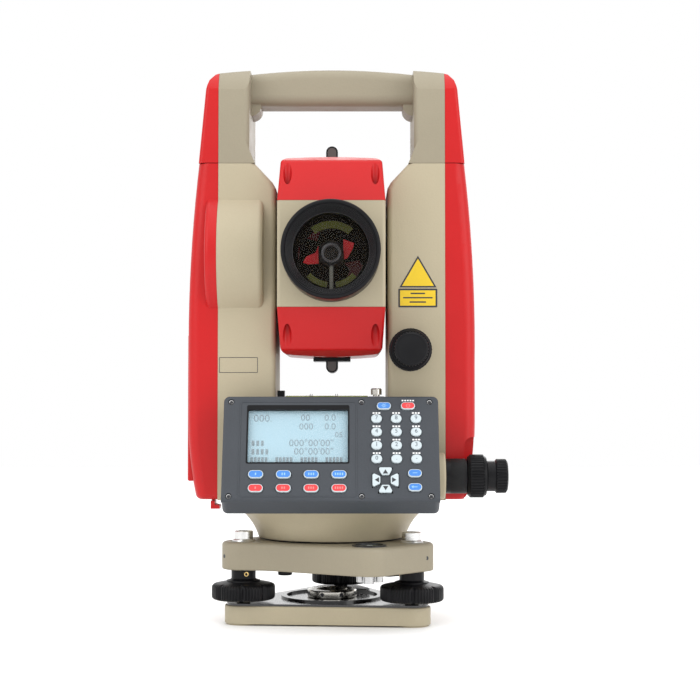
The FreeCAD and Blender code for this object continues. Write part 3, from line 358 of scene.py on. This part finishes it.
KNOB = [(0, 6.6), (2.6, 6.6), (4, 8), (4, 14.2), (16.6, 14.2), (17.5, 14.5), (18.2, 15.2),
        (18.38, 16.2), (18.38, 21.2), (18.2, 22.0), (17.6, 22.7), (16.8, 23.1), (15.2, 23.5),
        (10.0, 24.5), (9.7, 25.1), (7.7, 25.6), (7.1, 26.2), (7.1, 30.9), (6.7, 31.3), (4, 31.3),
        (4, 50), (0, 50)]
SET_SCREW = [(0, -0.3), (1.3, -0.3), (1.3, 0.05), (0.8, 0.12), (0.8, -0.1), (0, -0.1)]
FOOT_CIRCLE = 0.0565  # from the vertical axis to each foot screw
SET_SCREW_AIM = {"left": -73, "right": 5, "rear": 40}  # degrees round each knob
for side, angle in (("left", 210), ("right", 330), ("rear", 90)):
    turn = math.radians(angle) + TURN
    spot = Matrix.Translation((FOOT_CIRCLE * math.cos(turn), FOOT_CIRCLE * math.sin(turn), 0))
    bm = spun(bmesh.new(), mm(KNOB), 320, knob_rim, closed=False)
    piece("levelling_knob_" + side, bm, BLACK, "foot_screw_" + side, spot,
          ("foot_screw_" + side,))
    bm = spun(bmesh.new(), mm(SET_SCREW), 20, closed=False)
    for k in (0, 1):
        aim = Matrix.Rotation(math.radians(SET_SCREW_AIM[side] + 180 * k), 4, "Z")
        at = spot @ aim @ Matrix.Translation((0.0071, 0, 0.0290)) @ FACING["+X"]
        piece("set_screw_%s_%d" % (side, k), bm.copy(), BRASS, "foot_screw_" + side, at)
    bm.free()

# The capstan holes are dark discs: painted shade standing in for the hollows.
HOLE_SHADE_DISC = [(0, 0.03), (0.8, 0.03), (1.0, 0.05), (1.15, 0), (1.15, -0.3), (0, -0.3)]
for i in range(8):
    angle = math.radians(22.5 + 45 * i)
    bm = spun(bmesh.new(), mm(HOLE_SHADE_DISC), 24, closed=False)
    at = Matrix.Rotation(angle, 4, "Z") @ Matrix.Translation((0.01470, 0, 0.0150)) @ FACING["+X"]
    piece("capstan_hole_%d" % i, bm, DARK_PRINT_AND_SHADE, "tribrach", at)

HEAD_CORNER = 0.0125  # the levelling head's corners are rounded about the foot screws
# The clamp holes are dark discs too: painted shade of the hollows.
for i, (angle, aim) in enumerate(((210, 211), (330, -48))):
    turn = math.radians(angle) + TURN
    at = (Matrix.Translation((FOOT_CIRCLE * math.cos(turn), FOOT_CIRCLE * math.sin(turn), 0.0394))
          @ Matrix.Rotation(math.radians(aim), 4, "Z")
          @ Matrix.Translation((HEAD_CORNER, 0, 0)) @ FACING["+X"])
    bm = spun(bmesh.new(), mm(HOLE_SHADE_DISC), 24, closed=False)
    piece("clamp_hole_%d" % i, bm, DARK_PRINT_AND_SHADE, "tribrach", at)

bm = spun(bmesh.new(), mm([(0, 28.6), (3.7, 28.6), (4.1, 29.0), (4.1, 31.8), (0, 31.8)]), 40,
          closed=False)
piece("head_plug", bm, BLACK, "tribrach", Matrix.Translation((-0.0268, -0.0300, 0)))

VIAL_REACH = 0.0587  # from the vertical axis to the circular vial
VIAL_ANGLE = math.radians(-63.4)
bubble_center = Matrix.Rotation(TURN, 4, "Z") @ Vector((VIAL_REACH * math.cos(VIAL_ANGLE),
                                                        VIAL_REACH * math.sin(VIAL_ANGLE), 0))
at = Matrix.Translation((bubble_center.x, bubble_center.y, 0.0480))
bm = spun(bmesh.new(), mm([(1.9, 0), (2.15, 0), (2.15, 0.05), (1.9, 0.05)]), 32)
piece("circular_vial_mark", bm, DARK_PRINT_AND_SHADE, "tribrach", at)
bm = spun(bmesh.new(), mm([(0, -0.4), (1.5, -0.25), (1.6, 0), (1.2, 0.06), (0, 0.08)]), 32,
          closed=False)
piece("circular_vial_bubble", bm, KEY_WHITE, "tribrach", at)


# ---------------------------------------------------------------- keyboard
KEY_TOP = 1.43  # the height of a key's face over the case, in mm, like the places below
DIGIT_LEFT, DIGIT_PITCH = 25.6, 11.1
DIGIT_TOP, DIGIT_DROP = 16.9, 7.93
ARROWS_X, ARROWS_Y = 30.35, -19.6
BANK_LEFT, BANK_PITCH = -41.6, 15.4
FUNCTION_ROW, MODE_ROW = -16.2, -24.2
DIGITS = ["7", "8", "9", "4", "5", "6", "1", "2", "3", "0", ".", "-"]
items = []
for i, sign in enumerate(DIGITS):
    items.append((sign, DIGIT_LEFT + DIGIT_PITCH * (i % 3), DIGIT_TOP - DIGIT_DROP * (i // 3),
                  3.3, KEY_TOP))
lettering("digits", items, DIGIT_INK, "number_keys", KEYBOARD)

bm = bmesh.new()
for turn in range(4):
    c, s = ((1, 0), (0, 1), (-1, 0), (0, -1))[turn]
    tip = [(6.0, 0), (3.6, 1.5), (3.6, -1.5)]
    prism(bm, [(ARROWS_X + u * c - v * s, ARROWS_Y + u * s + v * c) for u, v in tip],
          1.38, 1.46)
piece("arrow_marks", bm, DARK_PRINT_AND_SHADE, "arrow_keys", KEYBOARD)


MARK_LOW, MARK_HIGH = 1.40, 1.48  # the marks on the keys lie between these heights, in mm


def ring_mark(bm, x, y, r, gap=0.0, thick=0.35):
    """A ring, with a gap at its top, as on a power key."""
    steps = 28
    start, stop = math.radians(90 + gap), math.radians(450 - gap)
    edge = [(x + q * math.cos(start + (stop - start) * i / steps),
             y + q * math.sin(start + (stop - start) * i / steps))
            for q, run in ((r, range(steps + 1)), (r - thick, range(steps, -1, -1))) for i in run]
    low, high = MARK_LOW * MM, MARK_HIGH * MM
    bottom = [bm.verts.new((px * MM, py * MM, low)) for px, py in edge]
    top = [bm.verts.new((px * MM, py * MM, high)) for px, py in edge]
    n = len(edge)
    for i in range(n):
        j = (i + 1) % n
        bm.faces.new((bottom[i], bottom[j], top[j], top[i]))
    for i in range(steps):
        bm.faces.new((top[i], top[i + 1], top[n - 2 - i], top[n - 1 - i]))
        bm.faces.new((bottom[n - 1 - i], bottom[n - 2 - i], bottom[i + 1], bottom[i]))


COLOURED_KEYS = {  # bank: its colour and its keys' (x, y, width, height)
    "function": (KEY_BLUE, [(BANK_LEFT + BANK_PITCH * i, FUNCTION_ROW, 8.5, 4.7)
                            for i in range(4)]),
    "mode": (KEY_RED, [(BANK_LEFT + BANK_PITCH * i, MODE_ROW, 8.5, 4.7) for i in range(4)]),
    "command": (KEY_BLUE, [(29.8, 24.2, 8.1, 4.4), (46.7, -15.6, 7.8, 4.6),
                           (46.7, -23.7, 7.8, 4.6)]),
    "power": (KEY_RED, [(43.4, 24.2, 8.1, 4.4)]),
}
KEY_NODES = {"function": "function_keys", "mode": "mode_keys", "command": "command_keys",
             "power": "power_key"}
for name, (mat, keys) in COLOURED_KEYS.items():
    bm = bmesh.new()
    for x, y, width, height in keys:
        half_w, half_h = width / 2 - 0.45, height / 2 - 0.45
        prism(bm, rounded(x - half_w, y - half_h, x + half_w, y + half_h, half_h - 0.01, 8),
              1.25, 1.44, 0.12)
    piece(name + "_inlay", bm, mat, KEY_NODES[name], KEYBOARD)
bm = bmesh.new()
ring_mark(bm, 43.4, 24.1, 1.2, 35)
prism(bm, rounded(43.24, 24.1, 43.56, 25.5, 0.1, 2), MARK_LOW, MARK_HIGH)
piece("power_mark", bm, MARK_RED, "power_key", KEYBOARD)
bm = bmesh.new()
ring_mark(bm, 29.8, 24.2, 0.8)
for i in range(8):
    a = math.radians(45 * i)
    c, s = math.cos(a), math.sin(a)
    spoke = [(1.05, -0.12), (1.5, -0.12), (1.5, 0.12), (1.05, 0.12)]
    prism(bm, [(29.8 + u * c - v * s, 24.2 + u * s + v * c) for u, v in spoke],
          MARK_LOW, MARK_HIGH)
for y, dot in ((-15.6, 0), (-23.7, 1)):
    prism(bm, rounded(45.4, y - 0.2, 48.0, y + 0.2, 0.15, 2), MARK_LOW, MARK_HIGH)
    if dot:
        prism(bm, [(45.7, y - 0.9), (44.6, y), (45.7, y + 0.9)], MARK_LOW, MARK_HIGH)
piece("command_marks", bm, MARK_BLUE, "command_keys", KEYBOARD)
for bank, y, mat in (("function", FUNCTION_ROW, MARK_BLUE), ("mode", MODE_ROW, MARK_RED)):
    bm = bmesh.new()
    for i in range(4):
        x = BANK_LEFT + BANK_PITCH * i
        for k in range(i + 1):
            px = x + (k - i / 2) * 1.3
            prism(bm, rounded(px - 0.35, y - 0.7, px + 0.35, y + 0.7, 0.2, 3), MARK_LOW, MARK_HIGH)
    piece(bank + "_marks", bm, mat, bank + "_keys", KEYBOARD)

# small captions over the number keys, as blank ticks with no words
bm = bmesh.new()
for row in range(4):
    for column in range(3):
        x, y = DIGIT_LEFT + DIGIT_PITCH * column, 16.6 - DIGIT_DROP * row + 3.55
        for k in range(3):
            px = x + (k - 1) * 1.6
            prism(bm, rounded(px - 0.55, y - 0.45, px + 0.55, y + 0.45, 0.1, 2), 0.0, 0.04)
for k in range(5):
    px = 43.4 + (k - 2) * 1.5
    prism(bm, rounded(px - 0.5, 27.25, px + 0.5, 28.05, 0.1, 2), 0.0, 0.04)
piece("key_ticks", bm, INK_WHITE, "alidade", KEYBOARD)
bm = loop_prism(bmesh.new(), rounded(-51.4, -29.0, 14.7, 27.3, 2.0),
                rounded(-50.7, -28.3, 14.0, 26.6, 1.5), -0.05, 0.25)
piece("display_bezel", bm, SLATE, "alidade", KEYBOARD)
# A black frame round the display: the display's own black border, and its wider top band is
# painted shade of the recess over the window.
bm = loop_prism(bmesh.new(), rounded(-47.4, -9.8, 10.4, 24.9, 1.0),
                rounded(-46.5, -8.9, 9.5, 22.1, 0.6), -2.0, 0.06)
piece("display_border_recess_shade", bm, BLACK, "alidade", KEYBOARD)

lines = [("000.", -38.5, 18.0, 6.2), ("00", -14.5, 18.4, 5.4), ("0.0", -0.5, 18.4, 5.4),
         ("000", -14.0, 13.1, 5.4), ("0.0", -0.5, 13.1, 5.4), ("05", 4.4, 8.2, 4.6),
         ("000°00'00\"", -11.0, 3.3, 5.7), ("00°00'00\"", -9.6, -1.7, 5.7)]
items = [(text, x, y, size, -3.34) for text, x, y, size in lines]
lettering("display_figures", items, LCD_INK, "alidade", KEYBOARD)
bm = bmesh.new()
for i in range(4):
    x = -45.0 + 14.0 * i
    for k in range(5):
        prism(bm, rounded(x + 2.0 * k, -8.8, x + 2.0 * k + 1.5, -4.9, 0.1, 1), -3.37, -3.33)
for i, w in enumerate((6.5, 8)):
    for k in range(int(w / 2)):
        prism(bm, rounded(-44.5 + 2.6 * k, 1.6 - 5.0 * i, -42.9 + 2.6 * k, 4.9 - 5.0 * i, 0.3, 2),
              -3.37, -3.33)
piece("display_boxes", bm, LCD_INK, "alidade", KEYBOARD)


# ---------------------------------------------------------------- ribbed rings and knobs
def grip(node, profile, count, depth, low, high, place, mat, duty=0.2):
    """A ring or knob whose rim is cut into narrow ribs between two heights."""
    wide = max(r for r, z in profile)

    def rim(radius, height, angle):
        if radius < (wide - 2.4) * MM or not low * MM < height < high * MM:
            return radius
        return radius - (depth * MM if math.cos(angle * count) < duty else 0)

    bm = spun(bmesh.new(), mm(profile), count * 8, rim, closed=profile[0][0] > 0)
    piece(node + "_ribbed", bm, mat, node, place, (node,))


RING = [(4.7, 12.5), (10.6, 12.5), (11.2, 13.0), (11.6, 13.6), (12.1, 13.9), (12.28, 14.4),
        (12.28, 21.2), (12.1, 21.7), (11.4, 21.9), (11.2, 22.8), (10.8, 23.3), (4.7, 23.3)]
KNOB_END = [(0, 32.3), (4.7, 32.3), (4.7, 23.6), (8.4, 23.6), (8.7, 23.9), (8.7, 28.3),
            (9.3, 28.8), (9.68, 29.2), (9.68, 34.2), (9.4, 34.7), (8.9, 34.9), (8.5, 35.35),
            (7.4, 35.5), (6.9, 35.3), (0, 35.3)]
for drive, place in (
        ("horizontal", Matrix.Translation((0.0649, -0.0425, 0.0862)) @ FACING["+X"]),
        ("vertical", Matrix.Translation((0.045, -0.03005, 0.158)) @ FACING["-Y"])):
    grip(drive + "_clamp_ring", RING, 40, 0.55, 14.2, 21.4, place, BLACK)
    grip(drive + "_tangent_knob", KNOB_END, 34, 0.5, 29.1, 34.5, place, BLACK)
    bm = spun(bmesh.new(), mm([(9.9, 3.0), (9.94, 3.1), (9.94, 11.2), (9.9, 11.3)]), 64)
    piece(drive + "_sleeve_skin", bm, RUBBER, "alidade", place)
at = Matrix.Translation(AXIS) @ FACING["+Y"]
grip("focus_ring", [(14.3, 48.3), (22.4, 48.3), (23.4, 48.9), (23.95, 50.0), (23.95, 62.8),
                    (23.4, 63.8), (22.4, 64.4), (14.3, 64.4)], 30, 0.9, 49.9, 63.0, at, RUBBER)
grip("eyepiece_ring", [(10.8, 67.3), (14.4, 67.3), (15.1, 67.8), (15.35, 68.4), (15.35, 75.8),
                       (14.9, 77.2), (13.9, 79.0), (12.5, 79.6), (10.8, 79.6)],
     26, 0.6, 68.3, 75.9, at, RUBBER)
at = Matrix.Translation((0, 0.0506, 0.096)) @ FACING["+Y"]
grip("plummet_focus_ring", [(5.3, 0), (10.2, 0), (10.9, 0.8), (10.95, 1.2), (10.95, 8.6),
                            (10.2, 10.0), (7.0, 11.0), (5.3, 11.0)], 28, 0.5, 1.0, 8.8, at, RUBBER)


# ---------------------------------------------------------------- screws
def screw(name, at, radius, body, mat=DARK_STEEL):
    """A dished screw head, its rim at the height of the place given."""
    r = radius
    bm = spun(bmesh.new(), mm([(0, -0.55), (r * 0.62, -0.5), (r * 0.8, -0.1), (r * 0.95, 0),
                               (r, -0.15), (r, -1.2), (0, -1.2)]), 28, closed=False)
    piece(name, bm, mat, body, at)


CASE_SCREWS = [(x, y) for y in (26.8, -28.6) for x in (-56.4, 17.2, 55.6)]
for i, (x, y) in enumerate(CASE_SCREWS):
    at = KEYBOARD @ Matrix.Translation((x * MM, y * MM, -0.0005))
    screw("case_screw_head_%d" % i, at, 1.3, "alidade", STEEL)
# Dark bars in the case screws' slots: painted shade of the slots.
bm = bmesh.new()
for x, y in CASE_SCREWS:
    prism(bm, rounded(x - 0.75, y - 0.13, x + 0.75, y + 0.13, 0.05, 1), -1.3, -0.85)
    prism(bm, rounded(x - 0.13, y - 0.75, x + 0.13, y + 0.75, 0.05, 1), -1.3, -0.85)
piece("case_screw_slot_shade", bm, DARK_PRINT_AND_SHADE, "alidade", KEYBOARD)
for up in (1, -1):
    for side in (-1, 1):
        for end in (-1, 1):
            flip = FACING["+Z"] if up > 0 else Matrix.Rotation(math.pi, 4, "X")
            at = Matrix.Translation((side * 0.0252, end * 0.0420, 0.213 + up * 0.0353)) @ flip
            screw("cover_screw_%d_%d_%d" % (up, side, end), at, 2.2, "telescope")
COVER_HALF = 83.5  # half the width over the side covers
BOW_FOOT = 150  # above this height the side covers draw inward
for side, heights in ((-1, (264.0, 172.0, 81.0)), (1, (264.0, 172.0))):
    for k, z in enumerate(heights):
        for end in (-1, 1):
            bowed = COVER_HALF - 5.7 * ((z - BOW_FOOT) / 117) ** 2
            outer = bowed if z > BOW_FOOT else 80.3
            reach = 6.5 * (1 - math.cos(math.radians(45))) + 0.25
            at = (Matrix.Translation((side * (outer - reach) * MM, end * (29.8 - reach) * MM,
                                      z * MM))
                  @ Matrix.Rotation(math.radians(-45 * side * end if end < 0 else 45 * side),
                                    4, "Z"))
            at = at @ FACING["-Y" if end < 0 else "+Y"]
            screw("side_screw_%d_%d_%d" % (side, k, end), at, 1.3, "alidade", RUBBER)


# ---------------------------------------------------------------- labels with no words
FRONT = Matrix.Translation((0, -0.0300, 0)) @ FACING["-Y"]
triangle = [(50.2, 213.4), (39.4, 194.9), (61.0, 194.9)]

def shrink(points, by):
    cx = sum(p[0] for p in points) / len(points)
    cy = sum(p[1] for p in points) / len(points)
    return [(cx + (x - cx) * by, cy + (y - cy) * by) for x, y in points]


piece("plate_yellow", prism(bmesh.new(), shrink(triangle, 0.98), 0.0, 0.08), YELLOW,
      "alidade", FRONT)
piece("plate_border", loop_prism(bmesh.new(), triangle, shrink(triangle, 0.86), 0.0, 0.12), DARK_PRINT_AND_SHADE,
      "alidade", FRONT)
piece("plate_block", prism(bmesh.new(), rounded(39.0, 183.5, 61.2, 194.0, 0.3), 0.0, 0.08), YELLOW,
      "alidade", FRONT)
bm = loop_prism(bmesh.new(), rounded(38.8, 183.3, 61.4, 194.2, 0.5),
                rounded(39.8, 184.3, 60.4, 193.2, 0.2), 0.0, 0.11)
for i, half in enumerate((4.2, 8.6, 4.8)):
    prism(bm, rounded(50.1 - half, 191.0 - 2.5 * i, 50.1 + half, 191.8 - 2.5 * i, 0.2, 2),
          0.05, 0.11)
piece("plate_bars", bm, DARK_PRINT_AND_SHADE, "alidade", FRONT)
piece("plate_blank", loop_prism(bmesh.new(), rounded(-65.2, 145.3, -42.8, 154.3, 0.4),
                                rounded(-64.9, 145.6, -43.1, 154.0, 0.3), 0.0, 0.1),
      DARK_STEEL, "alidade", FRONT)


# ---------------------------------------------------------------- objective
def deep_glass(name, color):
    """A coated optical face deep in the telescope; the red prism pieces made with it are painted
    glints.
    """
    return surface(name, color, 0.25, grain=300, bump=0.02, mottle=0.12, specular=0.2)


# Painted reflection: red glints off the prism inside the objective, bright and dim, laid as
# coloured faces.
PRISM_GLINT_BRIGHT = deep_glass("prism_glint_red", (0.92, 0.02, 0.03))
PRISM_GLINT_DIM = deep_glass("prism_glint_dim", (0.05, 0.002, 0.003))
OLIVE = deep_glass("baffle_olive", (0.13, 0.14, 0.02))
BAFFLE = surface("baffle_black", (0.003, 0.003, 0.003), 0.7, grain=500, bump=0.05, mottle=0.1,
                 specular=0.03)
STRUT_GREY = surface("strut_grey", (0.16, 0.16, 0.13), 0.45, grain=500, bump=0.04, mottle=0.06)
at = Matrix.Translation(AXIS) @ FACING["-Y"]
bm = bmesh.new()
prism(bm, [(-16.2, -4.6), (-13.6, -5.7), (-7.3, -5.4), (-7.5, 4.8), (-9.0, 0.9),
           (-14.3, -1.3)], 40.5, 42.5)
prism(bm, [(6.9, 8.6), (6.8, 2.6), (7.4, -2.9), (9.2, -2.2), (12.3, 3.4), (13.0, 6.4)], 40.5, 42.5)
piece("prism_painted_glints", bm, PRISM_GLINT_BRIGHT, "telescope", at)
bm = bmesh.new()
prism(bm, [(7.4, -5.0), (15.5, -3.4), (19.4, -8.0), (14.6, -14.6), (9.0, -13.6),
           (10.6, -9.0)], 40.2, 42.0)
prism(bm, [(-20.3, -1.8), (-18.6, -3.0), (-18.0, 3.4), (-19.2, 5.0)], 40.2, 42.0)
prism(bm, [(-14.2, 9.0), (-8.0, 7.6), (-6.4, 13.0), (-9.5, 13.8)], 40.2, 42.0)
piece("prism_painted_glints_dim", bm, PRISM_GLINT_DIM, "telescope", at)
bm = bmesh.new()
for start_angle, stop_angle, outer in ((50, 128, 19.6), (222, 262, 20.6), (278, 318, 20.6)):
    steps = 16
    for step in range(steps):
        a = math.radians(start_angle + (stop_angle - start_angle) * step / steps)
        b = math.radians(start_angle + (stop_angle - start_angle) * (step + 1) / steps)
        inner = outer - 4.6
        corners = ((inner, a), (outer, a), (outer, b), (inner, b))
        prism(bm, [(r * math.cos(t), r * math.sin(t)) for r, t in corners], 40.8, 42.2)
piece("olive_arcs", bm, OLIVE, "telescope", at)
bm = spun(bmesh.new(), mm([(0, 36), (17.5, 38), (21.7, 46), (21.7, 54), (21.4, 54),
                           (21.4, 46.2), (17.3, 38.4), (0, 36.4)]), 72, closed=False)
piece("objective_baffle", bm, BAFFLE, "telescope", at)
bm = spun(bmesh.new(), mm([(0, 48.2), (4.6, 48.2), (4.6, 48.6), (2.6, 49.0), (0, 49.0)]), 40,
          closed=False)
piece("tube_stop", bm, BLACK, "telescope", at)
bm = spun(bmesh.new(), mm([(4.2, 51.9), (5.6, 52.5), (6.9, 50.6), (7.15, 50.2), (7.15, 49.4),
                           (4.2, 49.4)]), 56)
piece("tube_rim", bm, DARK_STEEL, "telescope", at)
bm = spun(bmesh.new(), mm([(21.5, 62.9), (21.75, 63.0), (21.75, 63.4), (21.55, 63.3)]), 96)
piece("lens_retainer", bm, DARK_STEEL, "telescope", at)
bm = prism(bmesh.new(), [(-0.95, -7.2), (0.95, -7.2), (0.95, -20.6), (-0.95, -20.6)],
           47.9, 48.4, 0.1)
piece("tube_strut", bm, STRUT_GREY, "telescope", at)
rings = []
for k in range(9):
    z = 63.4 + 1.15 * k
    r = 21.8 + (z - 63) / 12.0 * 3.75
    rings += [(r + 0.05, z), (r - 0.28, z + 0.3), (r - 0.20, z + 0.75)]
bm = spun(bmesh.new(), mm(rings + [(26.0, 74.2), (22.1, 63.0)]), 96)
piece("objective_grooves", bm, BLACK, "telescope", at)


SCOPE_TOP = 58.35  # from the turning axis to the top of the telescope, in mm
for up, name in ((1, "top"), (-1, "bottom")):
    low = SCOPE_TOP + 2.4
    crown = [(2.55 * math.cos(math.radians(a)), SCOPE_TOP + 5.5 + 2.55 * math.sin(math.radians(a)))
             for a in range(0, 181, 15)]
    for end, facing in (("front", "-Y"), ("back", "+Y")):
        flip = 1 if end == "front" else -1
        points = [(x, up * flip * z) for x, z in [(2.55, low)] + crown + [(-2.55, low)]]
        at = Matrix.Translation(AXIS) @ FACING[facing]
        piece("sight_pane_%s_%s" % (name, end), prism(bmesh.new(), points, 11.9, 12.06), SMOKED,
              "telescope", at)


# ---------------------------------------------------------------- plate level
bm = spun(bmesh.new(), mm([(0, 16), (1.6, 16.3), (2.2, 17.5), (2.2, 27.5), (1.6, 28.7), (0, 29)]),
          32, closed=False)
at = Matrix.Translation((-0.0272, -0.0232, 0.1298)) @ FACING["+X"]
piece("plate_vial_bubble", bm, KEY_WHITE, "alidade", at)
for k, z in enumerate((14.5, 15.6, 29.4, 30.5)):
    bm = spun(bmesh.new(), mm([(3.2, z), (3.26, z), (3.26, z + 0.3), (3.2, z + 0.3)]), 32)
    piece("plate_vial_line_%d" % k, bm, DARK_PRINT_AND_SHADE, "alidade", at)


# ---------------------------------------------------------------- stage, light and camera
def stage_floor():
    bm = bmesh.new()
    bmesh.ops.create_grid(bm, x_segments=2, y_segments=2, size=2.0)
    mesh = bpy.data.meshes.new("floor")
    bm.to_mesh(mesh)
    bm.free()
    floor = bpy.data.objects.new("floor", mesh)
    bpy.context.scene.collection.objects.link(floor)
    mesh.materials.append(surface("floor_pale", (0.98, 0.98, 0.98), 0.85, grain=60, bump=0.01,
                                  mottle=0.01))


def lamp(name, at, aim, size, power, tone=(1, 1, 1)):
    light = bpy.data.lights.new(name, "AREA")
    light.shape = "RECTANGLE"
    light.size, light.size_y = size
    light.energy = power
    light.color = tone
    obj = bpy.data.objects.new(name, light)
    obj.location = at
    obj.rotation_euler = (Vector(aim) - Vector(at)).to_track_quat("-Z", "Y").to_euler()
    bpy.context.scene.collection.objects.link(obj)


stage_floor()
lamp("key_left", (-0.9, -0.9, 0.75), (0, 0, 0.16), (0.9, 0.9), 5)
lamp("fill_right", (1.0, -0.8, 0.5), (0, 0, 0.16), (0.9, 0.9), 5)
lamp("top", (0.0, -0.1, 1.2), (0, 0, 0.1), (1.2, 1.2), 6)
lamp("back", (0.3, 1.1, 0.7), (0, 0, 0.2), (1.0, 0.8), 5)
lamp("front_high", (0.0, -0.85, 0.95), (0, 0, 0.22), (0.8, 0.4), 1)
world = bpy.data.worlds.new("studio")
bpy.context.scene.world = world
world.use_nodes = True
world.node_tree.nodes["Background"].inputs["Color"].default_value = (1, 1, 1, 1)
world.node_tree.nodes["Background"].inputs["Strength"].default_value = 1.0

camera = bpy.data.cameras.new("camera")
camera.lens = 77.14
camera.sensor_width = 36
viewer = bpy.data.objects.new("camera", camera)
viewer.location = (0.0107, -0.900, 0.1295)
viewer.rotation_euler = (math.radians(91.91), 0, 0)
bpy.context.scene.collection.objects.link(viewer)
bpy.context.scene.camera = viewer
bpy.context.scene.view_settings.view_transform = "Standard"
